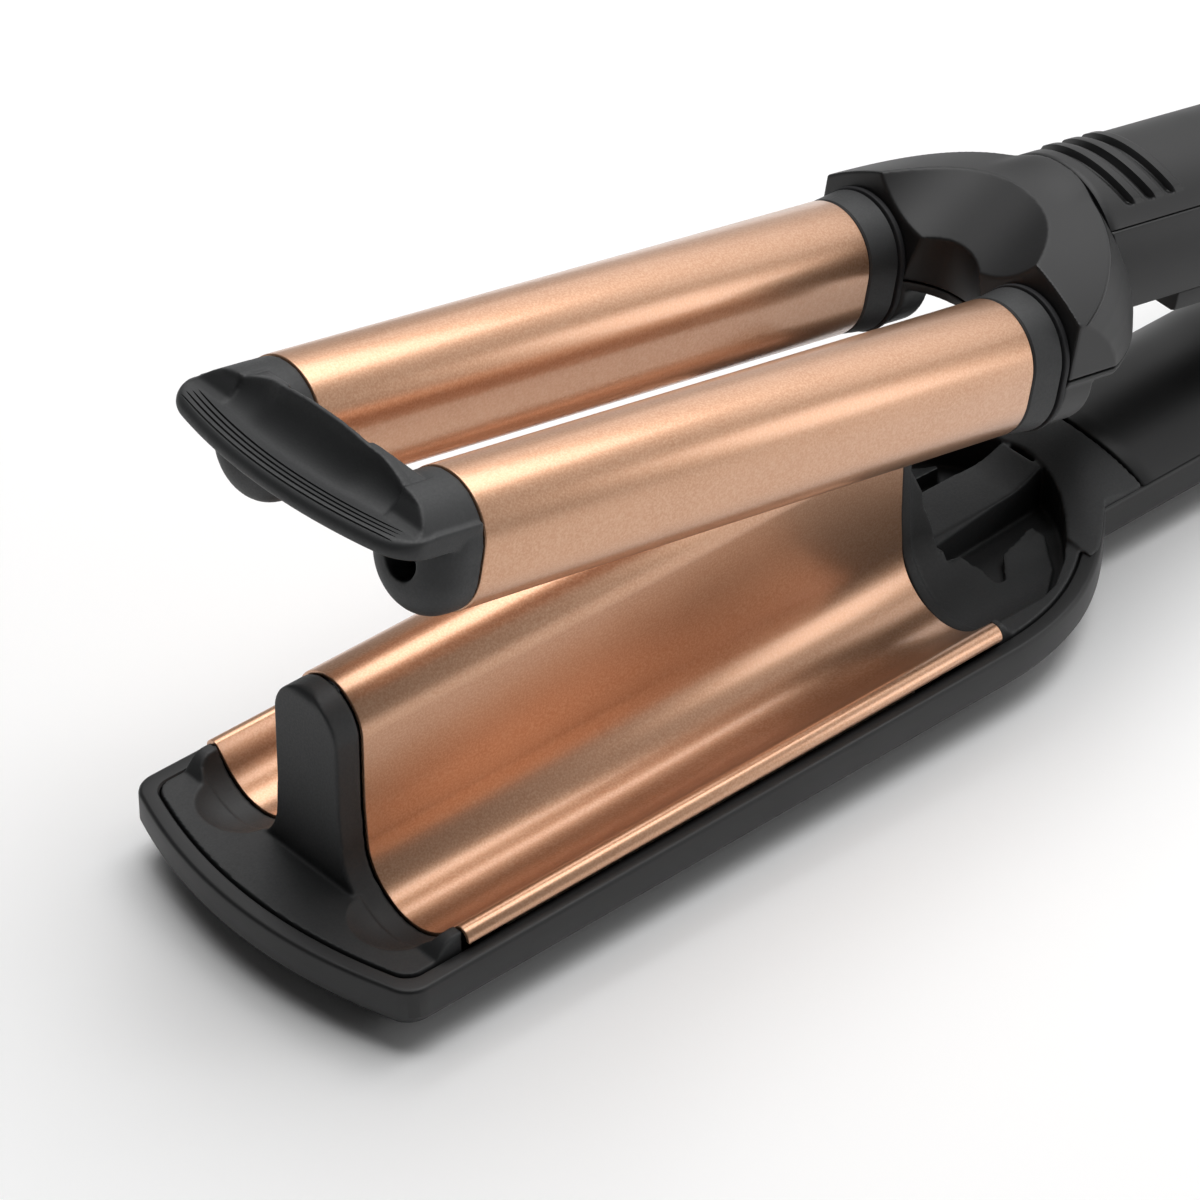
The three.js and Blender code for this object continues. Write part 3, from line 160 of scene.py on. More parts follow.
# Front and rear inserts; POCKET and SHELF are half plans, mirrored for the other side
INSERT_TOP = RIM_Z + FIT
INSERT_INSET = RIM_WIDTH + FIT
INSERT_HALF = SHELL_HALF - INSERT_INSET
INSERT_DROP = 0.4
NOSE_FRONT = -5.3
NOSE_ROUND = 1.8
NOSE_ROOM = 1.7
CORNER_FRONT = -5.6
CORNER_INNER = 26.5
SCOOP_X = -4.5
SCOOP_REACH = 6.6
REAR_START = PLATE_LENGTH + FIT
END_LIP = 2.2
BOWL_END = 126.6
BOWL_DROP = 0.8
SPINE_HALF = 6.4
SPINE_TOP = -0.8
SPINE_NARROW = 4.8
SPINE_END = SHOULDER_END - 4
POCKET_FLOOR = -7.5
POCKET = [
    [BOWL_END, 0], [155, 0], [154.6, 4.3], [153.9, 7.4], [152.2, 11.4], [149.5, 15.3],
    [146.1, 19.1], [141.8, 22.9], [135.7, 26.8], [130, 28.3], [BOWL_END, 28.5],
]
SHELF = [
    [BOWL_END - 0.5, 9.3], [129.3, 10.4], [131.7, 13], [132.3, 16.5], [134, 16.8], [137.2, 12.9],
    [145.3, 11.4], [147, 13.4], [142.6, 19.8], [138, 23.4], [131, 29], [BOWL_END - 0.5, 29],
]
NECK_START = 146
NECK_BOW = 3.6
NECK_CREST = 4.5
COVER_WALL = 2.2

# Finger rest and barrel caps
BRIDGE_FRONT = bridge_low.x
BRIDGE_HALF = 28.4
BRIDGE_BOW = 4.4
BRIDGE_CORNER = 5.4
BRIDGE_RIM = 14.3
BRIDGE_LIP = 3.5
BRIDGE_CREST = bridge_high.z
BRIDGE_REAR = -6.4
BRIDGE_FALL = 7.6
BRIDGE_LEDGE = 26.2
CREST_HALF = 25.5
CAP_FRONT = -5.8
SCREW_HOLE = 3.5

# Hub
HUB_REAR = hub_high.x
UNDER_FLOOR = 5.6
HUB_CROWN_Z = 27
HUB_CROWN_R = 54
HUB_BLEND = 142
HUB_WALL = 2.6
HUB_BRIM = HUB_CROWN_Z - 4
HUB_OVAL_X = 118
HUB_FOOT = (46.4, 35)
HUB_EDGE = (36, 32.6)
HUB_BULGE = 2
HUB_SCOOP_Z = 16.35
HUB_SCOOP_SLOPE = 0.8
HUB_SCOOP_CURL = 0.00118
HUB_NOTCH_X = 122.1
HUB_NOTCH_R = 12.3
HUB_NOTCH_DRAFT = 0.21
BOSS_R = 10.3
BOSS_END = 137

# Grips and hinge
GRIP_CENTRE = CROWN_Z - GRIP_HALF
SEAM_ANGLE = math.radians(53)
SEAM_Z = GRIP_CENTRE + GRIP_HALF * math.cos(SEAM_ANGLE) + FIT / 2
GROOVES = (158.2, 163.3, 168.2)
GROOVE_BOW = 2.0
GROOVE_REACH = math.radians(37)
# Each groove from front to rear: from, to, height there and there
GROOVE_SLOPES = (
    (-1.5, 0.3, 0, -0.95),
    (0.3, 0.75, -0.95, 0.4),
    (0.75, 2.5, 0.4, 0.4),
    (2.5, 3.3, 0.4, 0),
)
KNUCKLE_R = 9
KNUCKLE_HALF = 9.6
EAR_INNER = 9.9
EAR_FOOT = 13
PIN_BORE_R = 3.35
CAP_BORE_R = 6.3
SPRING_HALF = 6.3
SPRING_BORE_R = 6.3
GRIP_WALL = 2.4
PILOT_R = 1.5
GLAND_Z = -7.5
PAD_GAP = 1.0
BUTTONS = ("power_button", "heat_up_button", "heat_down_button")
BUTTON_R = 5
ARC_STEPS = 40


# Modelling by hand: each helper below adds a primitive or runs one tool on it

def only(piece):
    """Selects one piece alone."""
    bpy.ops.object.select_all(action="DESELECT")
    piece.select_set(True)
    bpy.context.view_layer.objects.active = piece
    return piece


def added():
    """The primitive just added, with its size and place put into its mesh."""
    bpy.ops.object.transform_apply(location=True, rotation=True, scale=True)
    return bpy.context.object


@contextmanager
def editing(piece, kind="FACE"):
    """Edit mode on one piece with nothing selected."""
    only(piece)
    bpy.ops.object.mode_set(mode="EDIT")
    bpy.ops.mesh.select_mode(type=kind)
    bpy.ops.mesh.select_all(action="DESELECT")
    yield bmesh.from_edit_mesh(piece.data)
    bpy.ops.object.mode_set(mode="OBJECT")


def modify(piece, kind, **settings):
    """Adds a modifier with its settings and applies it."""
    only(piece)
    bpy.ops.object.modifier_add(type=kind)
    modifier = piece.modifiers[-1]
    for name, value in settings.items():
        setattr(modifier, name, value)
    bpy.ops.object.modifier_apply(modifier=modifier.name)
    return piece


def carve(piece, *tools, how="DIFFERENCE"):
    """Cuts, joins or clips a piece with other solids, which are used up."""
    for tool in tools:
        modify(piece, "BOOLEAN", operation=how, solver="EXACT", object=tool)
        bpy.data.objects.remove(tool)
    return piece


def copied(piece):
    only(piece)
    bpy.ops.object.duplicate()
    return bpy.context.object


def mirrored(piece):
    """The same piece on the other side of the middle plane."""
    twin = copied(piece)
    twin.data.transform(Matrix.Scale(-1, 4, (0, 1, 0)))
    with editing(twin):
        bpy.ops.mesh.select_all(action="SELECT")
        bpy.ops.mesh.normals_make_consistent(inside=False)
    return twin


def both(piece):
    return piece, mirrored(piece)


def bevelled(piece, width, segments=3, angle=30):
    """Rounds the edges sharper than an angle in degrees."""
    return modify(
        piece, "BEVEL", width=width, segments=segments, limit_method="ANGLE",
        angle_limit=math.radians(angle), use_clamp_overlap=True, harden_normals=False,
    )


def moulded(piece, grain, rounds=6):
    """Melts solids into one skin with soft corners, as a mould gives; grain is its mesh size."""
    modify(piece, "REMESH", mode="VOXEL", voxel_size=grain, adaptivity=0)
    return modify(piece, "SMOOTH", factor=0.5, iterations=rounds)


AXES = {
    "X": Matrix(((0, 0, 1, 0), (1, 0, 0, 0), (0, 1, 0, 0), (0, 0, 0, 1))),
    "Y": Matrix(((1, 0, 0, 0), (0, 0, 1, 0), (0, 1, 0, 0), (0, 0, 0, 1))),
    "Z": Matrix.Identity(4),
}


def outline(axis, points, start, filled=True):
    """A ring of corners across an axis, from [a, b] points, filled or open."""
    fill = "NGON" if filled else "NOTHING"
    bpy.ops.mesh.primitive_circle_add(vertices=len(points), fill_type=fill)
    ring = added()
    for corner, (a, b) in zip(ring.data.vertices, points):
        corner.co = AXES[axis] @ Vector((a, b, start))
    return ring


def slab(axis, points, start, end, lean=(0, 0, 0)):
    """An outline extruded along its axis into a solid."""
    solid = outline(axis, points, start)
    reach = AXES[axis] @ Vector((0, 0, end - start)) + Vector(lean)
    with editing(solid):
        bpy.ops.mesh.select_all(action="SELECT")
        bpy.ops.mesh.extrude_region_move(TRANSFORM_OT_translate={"value": reach})
        bpy.ops.mesh.select_all(action="SELECT")
        bpy.ops.mesh.normals_make_consistent(inside=False)
    return solid


def block(low, high):
    middle = (Vector(low) + Vector(high)) / 2
    bpy.ops.mesh.primitive_cube_add(size=1, location=middle, scale=Vector(high) - Vector(low))
    return added()


def rod(axis, centre, start, end, radius, corners=64):
    """A round solid along an axis; centre is its place across the axis."""
    return slab(axis, arc(*centre, radius, 0, 360, corners)[:-1], start, end)


def cone(place, low_radius, high_radius, depth, corners=96):
    bpy.ops.mesh.primitive_cone_add(
        vertices=corners, radius1=low_radius, radius2=high_radius, depth=depth, location=place,
    )
    return added()


def skin(rings):
    """A closed skin over rings that have equally many corners, where insets would cross over."""
    count = len(rings[0])
    corners = [corner for ring in rings for corner in ring]
    faces = [list(range(count)), list(range(len(corners) - count, len(corners)))]
    for k in range(len(rings) - 1):
        for i in range(count):
            a = k * count + i
            b = k * count + (i + 1) % count
            faces.append([a, b, b + count, a + count])
    data = bpy.data.meshes.new("skin")
    data.from_pydata(corners, [], faces)
    solid = bpy.data.objects.new("skin", data)
    bpy.context.scene.collection.objects.link(solid)
    with editing(solid):
        bpy.ops.mesh.select_all(action="SELECT")
        bpy.ops.mesh.normals_make_consistent(inside=False)
    return solid


def turned(axis, centre, profile, steps=64):
    """A body of revolution: the profile's [radius, along] points are spun about the axis."""
    ring = [AXES[axis] @ Vector((centre[0] + r, centre[1], along)) for r, along in profile]
    data = bpy.data.meshes.new("turned")
    data.from_pydata(ring, [(i, i + 1) for i in range(len(ring) - 1)], [])
    solid = bpy.data.objects.new("turned", data)
    bpy.context.scene.collection.objects.link(solid)
    with editing(solid, "VERT"):
        bpy.ops.mesh.select_all(action="SELECT")
        bpy.ops.mesh.spin(
            steps=steps, angle=math.tau,
            center=AXES[axis] @ Vector((*centre, 0)), axis=AXES[axis].to_3x3() @ Vector((0, 0, 1)),
        )
        bpy.ops.mesh.select_all(action="SELECT")
        bpy.ops.mesh.remove_doubles(threshold=0.001)
        bpy.ops.mesh.normals_make_consistent(inside=False)
    return solid


# Outlines, as [a, b] points

def arc(centre_a, centre_b, radius, start, end, steps=ARC_STEPS):
    angles = [math.radians(start + (end - start) * i / steps) for i in range(steps + 1)]
    return [[centre_a + radius * math.cos(t), centre_b + radius * math.sin(t)] for t in angles]


def bezier(start, pull, end, steps):
    """Points of a quadratic curve, without its last."""
    shares = [i / steps for i in range(steps)]
    return [
        [(1 - t) ** 2 * p + 2 * t * (1 - t) * q + t * t * r for p, q, r in zip(start, pull, end)]
        for t in shares
    ]


def stadium(radius, y=BARREL_Y, steps=ARC_STEPS):
    return (
        arc(y, STADIUM_HIGH, radius, 0, 180, steps)
        + arc(y, STADIUM_LOW, radius, 180, 360, steps)
    )


def hull_half(inset, tail=SHELL_END, fine=3):
    """Half of the lower shell's plan, drawn in by an inset."""
    half = SHELL_HALF - inset
    neck = GRIP_HALF - inset
    corner = max(SHELL_CORNER - 0.35 * inset, 1.5)
    turn = 155

    def bow(y):
        return SHELL_FRONT + inset + SHELL_BOW * (y / SHELL_HALF) ** 2

    corner_y = half - corner
    bow_end = corner_y + corner * math.sin(math.radians(turn))
    corner_x = bow(bow_end) - corner * math.cos(math.radians(turn))
    shoulder = [
        Vector((SHOULDER_START, half)),
        Vector((SHOULDER_START + 19 - 0.3 * inset, half)),
        Vector((SHOULDER_END - 11 - 0.6 * inset, neck + 10 + 0.2 * inset)),
        Vector((SHOULDER_END - 0.3 * inset, neck)),
    ]
    bend = []
    for i in range(10 * fine):
        t = i / (10 * fine - 1)
        weights = ((1 - t) ** 3, 3 * t * (1 - t) ** 2, 3 * t * t * (1 - t), t ** 3)
        bend.append(list(sum((w * p for w, p in zip(weights, shoulder)), Vector((0, 0)))))
    tail_radius = TAIL_CORNER - 0.5 * inset
    front = [[bow(bow_end * i / (6 * fine)), bow_end * i / (6 * fine)] for i in range(6 * fine)]
    side = arc(corner_x, corner_y, corner, turn, 90, 5 * fine)
    rear = arc(tail - inset - tail_radius, neck - tail_radius, tail_radius, 90, 0, 5 * fine)
    return front + side + bend + rear


def hull(inset, tail=SHELL_END):
    half = hull_half(inset, tail)
    return half + [[x, -y] for x, y in reversed(half[1:])]


def hull_ring(inset, z, tail=SHELL_END):
    return [(x, y, z) for x, y in hull(inset, tail)]


def wave_half(drop):
    """Half of the wave plate's upper surface from lip to crest."""
    return (
        arc(LIP_HALF - LIP_ROLL, LIP_TOP - LIP_ROLL, LIP_ROLL - drop, -12, 112, 12)
        + arc(VALLEY_Y, STADIUM_LOW, VALLEY_R + drop, -42, -180, 48)
        + [[RIDGE_HALF - drop, STADIUM_LOW + 6]]
        + arc(0, RIDGE_TOP - RIDGE_HALF, RIDGE_HALF - drop, 0, 90, 24)
    )


def wave(drop):
    half = wave_half(drop)
    return half + [[-y, z] for y, z in reversed(half[:-1])]


def under_wave(drop, low, half_width):
    top = [point for point in wave(drop) if abs(point[0]) < half_width]
    edge = top[0][1]
    return [[half_width, low], [half_width, edge]] + top + [[-half_width, edge], [-half_width, low]]


# Materials: colours are sRGB hex values

def linear(hex_colour):
    channels = [int(hex_colour[i:i + 2], 16) / 255 for i in (1, 3, 5)]
    return [c / 12.92 if c <= 0.04045 else ((c + 0.055) / 1.055) ** 2.4 for c in channels] + [1]


def node(tree, kind, inputs=(), **settings):
    """Adds a node with its settings, and gives its inputs values or links."""
    made = tree.nodes.new(kind)
    for name, value in settings.items():
        setattr(made, name, value)
    for key, value in dict(inputs).items():
        if isinstance(value, bpy.types.NodeSocket):
            tree.links.new(value, made.inputs[key])
        else:
            made.inputs[key].default_value = value
    return made


def blank(name):
    material = bpy.data.materials.new(name)
    material.use_nodes = True
    tree = material.node_tree
    return material, tree, tree.nodes["Principled BSDF"]


def grain(tree, size_mm, detail=2.0):
    """Noise in Object coordinates whose blotches are about size_mm wide."""
    place = node(tree, "ShaderNodeTexCoord").outputs["Object"]
    return node(
        tree, "ShaderNodeTexNoise",
        {"Vector": place, "Scale": 1 / (size_mm * MM), "Detail": detail, "Roughness": 0.55},
    ).outputs["Fac"]


def band(tree, value, low, high, out_low=0.0, out_high=1.0):
    """Maps a stretch of a value onto another."""
    return node(
        tree, "ShaderNodeMapRange",
        {"Value": value, "From Min": low, "From Max": high, "To Min": out_low, "To Max": out_high},
    ).outputs["Result"]


def mixed(tree, share, first, second):
    mix = node(tree, "ShaderNodeMix", data_type="RGBA")
    tree.links.new(share, mix.inputs["Factor"])
    for slot, colour in ((6, first), (7, second)):
        if isinstance(colour, str):
            mix.inputs[slot].default_value = linear(colour)
        else:
            tree.links.new(colour, mix.inputs[slot])
    return mix.outputs[2]


def raised(tree, height, depth_mm, strength=1.0):
    return node(
        tree, "ShaderNodeBump",
        {"Height": height, "Distance": depth_mm * MM, "Strength": strength},
    ).outputs["Normal"]


def copper_pearl_coating():
    """Ceramic coating with copper pearl, sprayed on aluminium: fine bright flakes, soft gloss."""
    material, tree, shader = blank("copper pearl ceramic coating")
    flakes = grain(tree, 0.35, 1.0)
    cloud = grain(tree, 9.0, 2.0)
    tone = mixed(tree, band(tree, cloud, 0.3, 0.7), "#C49270", "#C99877")
    flecked = mixed(tree, band(tree, flakes, 0.35, 0.72), tone, "#D6AB8C")
    tree.links.new(flecked, shader.inputs["Base Color"])
    tree.links.new(band(tree, flakes, 0.3, 0.7, 0.3, 0.36), shader.inputs["Roughness"])
    tree.links.new(raised(tree, flakes, 0.015, 0.4), shader.inputs["Normal"])
    shader.inputs["Metallic"].default_value = 0.8
    shader.inputs["Coat Weight"].default_value = 0.6
    shader.inputs["Coat Roughness"].default_value = 0.16
    return material


def heatproof_nylon():
    """Glass-filled nylon from a spark-eroded mould: dark grey-black, matt, finely pitted."""
    material, tree, shader = blank("moulded glass-filled nylon")
    pits = grain(tree, 0.4, 3.0)
    cloud = grain(tree, 12.0, 2.0)
    tone = mixed(tree, band(tree, cloud, 0.3, 0.7), "#1F2021", "#252627")
    tree.links.new(tone, shader.inputs["Base Color"])
    tree.links.new(band(tree, pits, 0.3, 0.7, 0.52, 0.64), shader.inputs["Roughness"])
    tree.links.new(raised(tree, pits, 0.03, 0.6), shader.inputs["Normal"])
    shader.inputs["IOR"].default_value = 1.53
    return material


def satin_abs():
    """Polycarbonate-ABS from a lightly polished mould: near black with soft wide reflections."""
    material, tree, shader = blank("moulded satin PC-ABS")
    skin_grain = grain(tree, 0.5, 2.0)
    cloud = grain(tree, 25.0, 2.0)
    tone = mixed(tree, band(tree, cloud, 0.3, 0.7), "#131314", "#171718")
    tree.links.new(tone, shader.inputs["Base Color"])
    tree.links.new(band(tree, cloud, 0.3, 0.7, 0.44, 0.52), shader.inputs["Roughness"])
    tree.links.new(raised(tree, skin_grain, 0.01, 0.35), shader.inputs["Normal"])
    shader.inputs["IOR"].default_value = 1.5
    return material


def silicone_rubber():
    """Pressed silicone rubber: dark, dull and slightly dusty."""
    material, tree, shader = blank("pressed silicone rubber")
    dust = grain(tree, 0.6, 3.0)
    tone = mixed(tree, band(tree, dust, 0.35, 0.75), "#1B1B1D", "#232325")
    tree.links.new(tone, shader.inputs["Base Color"])
    tree.links.new(band(tree, dust, 0.3, 0.7, 0.62, 0.75), shader.inputs["Roughness"])
    shader.inputs["IOR"].default_value = 1.41
    return material


def zinc_plated_steel():
    """Zinc-plated steel: pale grey, slightly cloudy from the plating bath."""
    material, tree, shader = blank("zinc-plated steel")
    cloud = grain(tree, 1.5, 3.0)
    tone = mixed(tree, band(tree, cloud, 0.3, 0.7), "#A9ABAD", "#C3C5C7")
    tree.links.new(tone, shader.inputs["Base Color"])
    tree.links.new(band(tree, cloud, 0.3, 0.7, 0.28, 0.42), shader.inputs["Roughness"])
    shader.inputs["Metallic"].default_value = 1.0
    return material


def bare_aluminium():
    """Extruded aluminium, left bare: fine draw lines along its length."""
    material, tree, shader = blank("extruded aluminium")
    place = node(tree, "ShaderNodeTexCoord").outputs["Object"]
    drawn_out = node(tree, "ShaderNodeMapping", {"Vector": place, "Scale": (0.03, 1, 1)})
    lines = node(
        tree, "ShaderNodeTexNoise",
        {"Vector": drawn_out.outputs["Vector"], "Scale": 1 / (0.5 * MM), "Detail": 2.0},
    ).outputs["Fac"]
    tone = mixed(tree, band(tree, lines, 0.3, 0.7), "#BFC1C3", "#CFD1D2")
    tree.links.new(tone, shader.inputs["Base Color"])
    tree.links.new(band(tree, lines, 0.3, 0.7, 0.35, 0.5), shader.inputs["Roughness"])
    shader.inputs["Metallic"].default_value = 1.0
    return material


def sintered_alumina():
    """Sintered alumina heater: chalky white with a faint grain."""
    material, tree, shader = blank("sintered alumina")
    chalk = grain(tree, 0.8, 3.0)
    tone = mixed(tree, band(tree, chalk, 0.3, 0.7), "#D9D5C9", "#E6E3D9")
    tree.links.new(tone, shader.inputs["Base Color"])
    shader.inputs["Roughness"].default_value = 0.8
    return material


def solder_mask():
    """Glass-epoxy board under green solder mask, with a faint weave."""
    material, tree, shader = blank("green solder mask")
    place = node(tree, "ShaderNodeTexCoord").outputs["Object"]
    weave = node(
        tree, "ShaderNodeTexWave", {"Vector": place, "Scale": 1 / (1.2 * MM)}, bands_direction="X",
    ).outputs["Fac"]
    tone = mixed(tree, band(tree, weave, 0.0, 1.0), "#1D5637", "#225F3D")
    tree.links.new(tone, shader.inputs["Base Color"])
    shader.inputs["Roughness"].default_value = 0.4
    return material


def frosted_lens():
    """Frosted polycarbonate light pipe: milky, with a soft gloss."""
    material, tree, shader = blank("frosted polycarbonate")
    haze = grain(tree, 0.7, 2.0)
    tone = mixed(tree, band(tree, haze, 0.3, 0.7), "#C9CED1", "#D6DADC")
    tree.links.new(tone, shader.inputs["Base Color"])
    shader.inputs["Roughness"].default_value = 0.35
    shader.inputs["Transmission Weight"].default_value = 0.4
    shader.inputs["IOR"].default_value = 1.58
    return material


FINISHES = {
    "copper_coat": copper_pearl_coating(),
    "matte_black": heatproof_nylon(),
    "satin_black": satin_abs(),
    "silicone": silicone_rubber(),
    "steel": zinc_plated_steel(),
    "bare_aluminium": bare_aluminium(),
    "ceramic": sintered_alumina(),
    "board": solder_mask(),
    "lens": frosted_lens(),
}
SLOT_OF_NODE = {entry["node"]: entry["material_slot"] for entry in frame["record"]["subparts"]}


def dress_frame():
    """Gives every CAD node the finish of its slot."""
    for name, part in frame["nodes"].items():
        part.data.materials.clear()
        part.data.materials.append(FINISHES[SLOT_OF_NODE[name]])


def seat(piece, name, cad_node, smooth=35):
    """Lays a drawn piece into the frame in place of its CAD node, with that node's finish."""
    only(piece)
    bpy.ops.object.transform_apply(location=True, rotation=True, scale=True)
    piece.name = name
    piece.data.name = name
    piece.data.transform(seat_of(cad_node))
    piece.data.materials.clear()
    piece.data.materials.append(FINISHES[SLOT_OF_NODE[cad_node]])
    bpy.ops.object.shade_smooth_by_angle(angle=math.radians(smooth))
    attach(piece, body_of(cad_node))
    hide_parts(cad_node)
    return piece


# Lower jaw

def lower_shell():
    """Tray with a rounded belly that runs on as the lower grip and ends in two hinge ears."""
    belly = [[11 - inset, FLOOR_Z + rise] for inset, rise in bezier([0, 0], [8.5, 3], [11, 8], 10)]
    outside = [hull_ring(inset, z) for inset, z in belly]
    outside += [hull_ring(0, WALL_FOOT), hull_ring(0, RIM_Z - RIM_ROUND)]
    for t in (0.5, 1.0, 1.57):
        inset, rise = RIM_ROUND - RIM_ROUND * math.cos(t), RIM_ROUND * math.sin(t)
        outside.append(hull_ring(inset, RIM_Z - RIM_ROUND + rise))
    tray_end = cover_high.x - 3
    inside = [
        hull_ring(RIM_WIDTH - 0.3, RIM_Z, tray_end),
        hull_ring(RIM_WIDTH, RIM_Z - 0.3, tray_end),
        hull_ring(RIM_WIDTH, INSERT_FLOOR - FIT, tray_end),
        hull_ring(6.2, FLOOR_Z + 5, tray_end),
        hull_ring(11, FLOOR_Z + 2.3, tray_end),
    ]
    return skin(outside + inside)


def build_lower_shell():
    shell = lower_shell()
    deck_z = 1.4
    deck = skin([
        hull_ring(0.4, RIM_Z - 1),
        hull_ring(0.4, deck_z - 1.5),
        hull_ring(0.9, deck_z - 0.5),
        hull_ring(1.8, deck_z),
    ])
    carve(deck, block((cover_high.x + FIT, -30, -30), (SHELL_END + 5, 30, 30)), how="INTERSECT")
    ear_radius = shell_high.z - HINGE_Z
    ear_outer = drawn("hinge_cap_far")[1].y
    side = arc(HINGE_X, HINGE_Z, ear_radius, 155, 15, 32)
    side = [[HINGE_X - EAR_FOOT, RIM_Z - 2]] + side + [[HINGE_X + EAR_FOOT, RIM_Z - 2]]
    ear = slab("Y", side, EAR_INNER, ear_outer)
    bevelled(ear, 0.8, 4)
    carve(shell, deck, *both(ear), how="UNION")
    carve(
        shell,
        rod("X", (0, GLAND_Z), SHELL_END - 9, SHELL_END - 5, 8.3),
        rod("X", (0, GLAND_Z), SHELL_END - 9, SHELL_END + 2, 6.35),
        rod("Y", HINGE_AXIS, -20, 20, PIN_BORE_R),
        *both(rod("Y", HINGE_AXIS, ear_outer - 2.2, 20, CAP_BORE_R)),
        rod("Y", HINGE_AXIS, -EAR_INNER, EAR_INNER, 10),
    )
    return seat(shell, "shell_moulding", "lower_shell", 32)


def build_wave_plate():
    """One formed sheet: two valleys for the barrels, the ridge between them, two rolled lips."""
    section = wave(0) + wave(SHEET)[::-1]
    plate = slab("X", section, 0, PLATE_LENGTH)
    return seat(bevelled(plate, 0.15, 2, 50), "formed_plate", "wave_plate", 40)


def build_barrels():
    """Extruded stadium tubes with a broken edge at each end."""
    tube = outline("X", stadium(BARREL_R), BARREL_START, filled=False)
    with editing(tube, "EDGE"):
        bpy.ops.mesh.select_all(action="SELECT")
        reach = (BARREL_END - BARREL_START, 0, 0)
        bpy.ops.mesh.extrude_region_move(TRANSFORM_OT_translate={"value": reach})
        bpy.ops.mesh.select_all(action="SELECT")
        bpy.ops.mesh.remove_doubles(threshold=0.001)
        bpy.ops.mesh.normals_make_consistent(inside=False)
    modify(tube, "SOLIDIFY", thickness=BARREL_WALL, offset=-1)
    bevelled(tube, 0.25, 3, 50)
    far, near = both(tube)
    seat(far, "barrel_tube_far", "barrel_far", 40)
    seat(near, "barrel_tube_near", "barrel_near", 40)


def build_front_insert():
    """Heat-proof front: the wave runs on as the nose, with two scoops and two corner blocks."""
    top = RIDGE_TOP - INSERT_DROP
    insert = slab("Z", hull(INSERT_INSET), INSERT_FLOOR, INSERT_TOP)
    span = block((SHELL_FRONT, -40, INSERT_FLOOR - 1), (-FIT, 40, INSERT_TOP + 1))
    carve(insert, span, how="INTERSECT")
    profile = [[NOSE_FRONT, INSERT_FLOOR]]
    profile += arc(NOSE_FRONT + NOSE_ROUND, top - NOSE_ROUND, NOSE_ROUND, 180, 90, 8)
    profile += [[-FIT, top], [-FIT, INSERT_FLOOR]]
    nose = slab("Y", profile, -VALLEY_Y, VALLEY_Y)
    wave_run = slab("X", under_wave(INSERT_DROP, INSERT_FLOOR, VALLEY_Y), NOSE_FRONT, -FIT)
    carve(nose, wave_run, how="INTERSECT")
    corner_profile = [[CORNER_FRONT, INSERT_TOP - 1], [CORNER_FRONT, INSERT_TOP + 0.3]]
    rise_start = [CORNER_FRONT + 1.2, -0.9]
    corner_profile += bezier(rise_start, [-3.2, INSERT_DROP], [-1.6, INSERT_DROP], 5)
    corner_profile += [[-FIT, INSERT_DROP], [-FIT, INSERT_TOP - 1]]
    corner = slab("Y", corner_profile, CORNER_INNER, INSERT_HALF)
    carve(insert, nose, *both(corner), how="UNION")
    bpy.ops.mesh.primitive_uv_sphere_add(segments=96, ring_count=64, radius=VALLEY_R)
    scoop = added()
    flat_reach = math.sqrt(VALLEY_R ** 2 - (STADIUM_LOW - INSERT_TOP) ** 2)
    stretch = Matrix.Scale(SCOOP_REACH / flat_reach, 4, (1, 0, 0))
    scoop.data.transform(Matrix.Translation((SCOOP_X, VALLEY_Y, STADIUM_LOW)) @ stretch)
    valley = rod("X", (VALLEY_Y, STADIUM_LOW), SCOOP_X, 1, VALLEY_R + INSERT_DROP, 128)
    carve(insert, *both(scoop), *both(valley))
    return seat(moulded(insert, 0.3, 5), "front_moulding", "front_insert", 50)


def spine_plan():
    """Plan of the rear insert's spine, which narrows towards the neck."""
    half = [[REAR_START, INSERT_HALF], [BOWL_END, INSERT_HALF]]
    half += [[BOWL_END, SPINE_HALF], [SPINE_END, SPINE_NARROW]]
    return half + [[x, -y] for x, y in reversed(half)]


def neck_ring(x):
    """Section of the neck, which rises from the spine's height to the cover's."""
    t = min((x - NECK_START) / (NECK_END - NECK_START), 1)
    eased = t * t * (3 - 2 * t)
    rise = SPINE_TOP + (NECK_CREST - SPINE_TOP) * eased - INSERT_TOP
    half = GRIP_HALF + 8 * (1 - eased)
    radius = (half ** 2 + rise ** 2) / (2 * rise)
    ring = []
    for i in range(-24, 25):
        y = half * i / 24
        z = INSERT_TOP + rise - radius + math.sqrt(radius ** 2 - y ** 2)
        ring.append((x, y, z))
    return ring + [(x, half, INSERT_TOP - 0.6), (x, -half, INSERT_TOP - 0.6)]


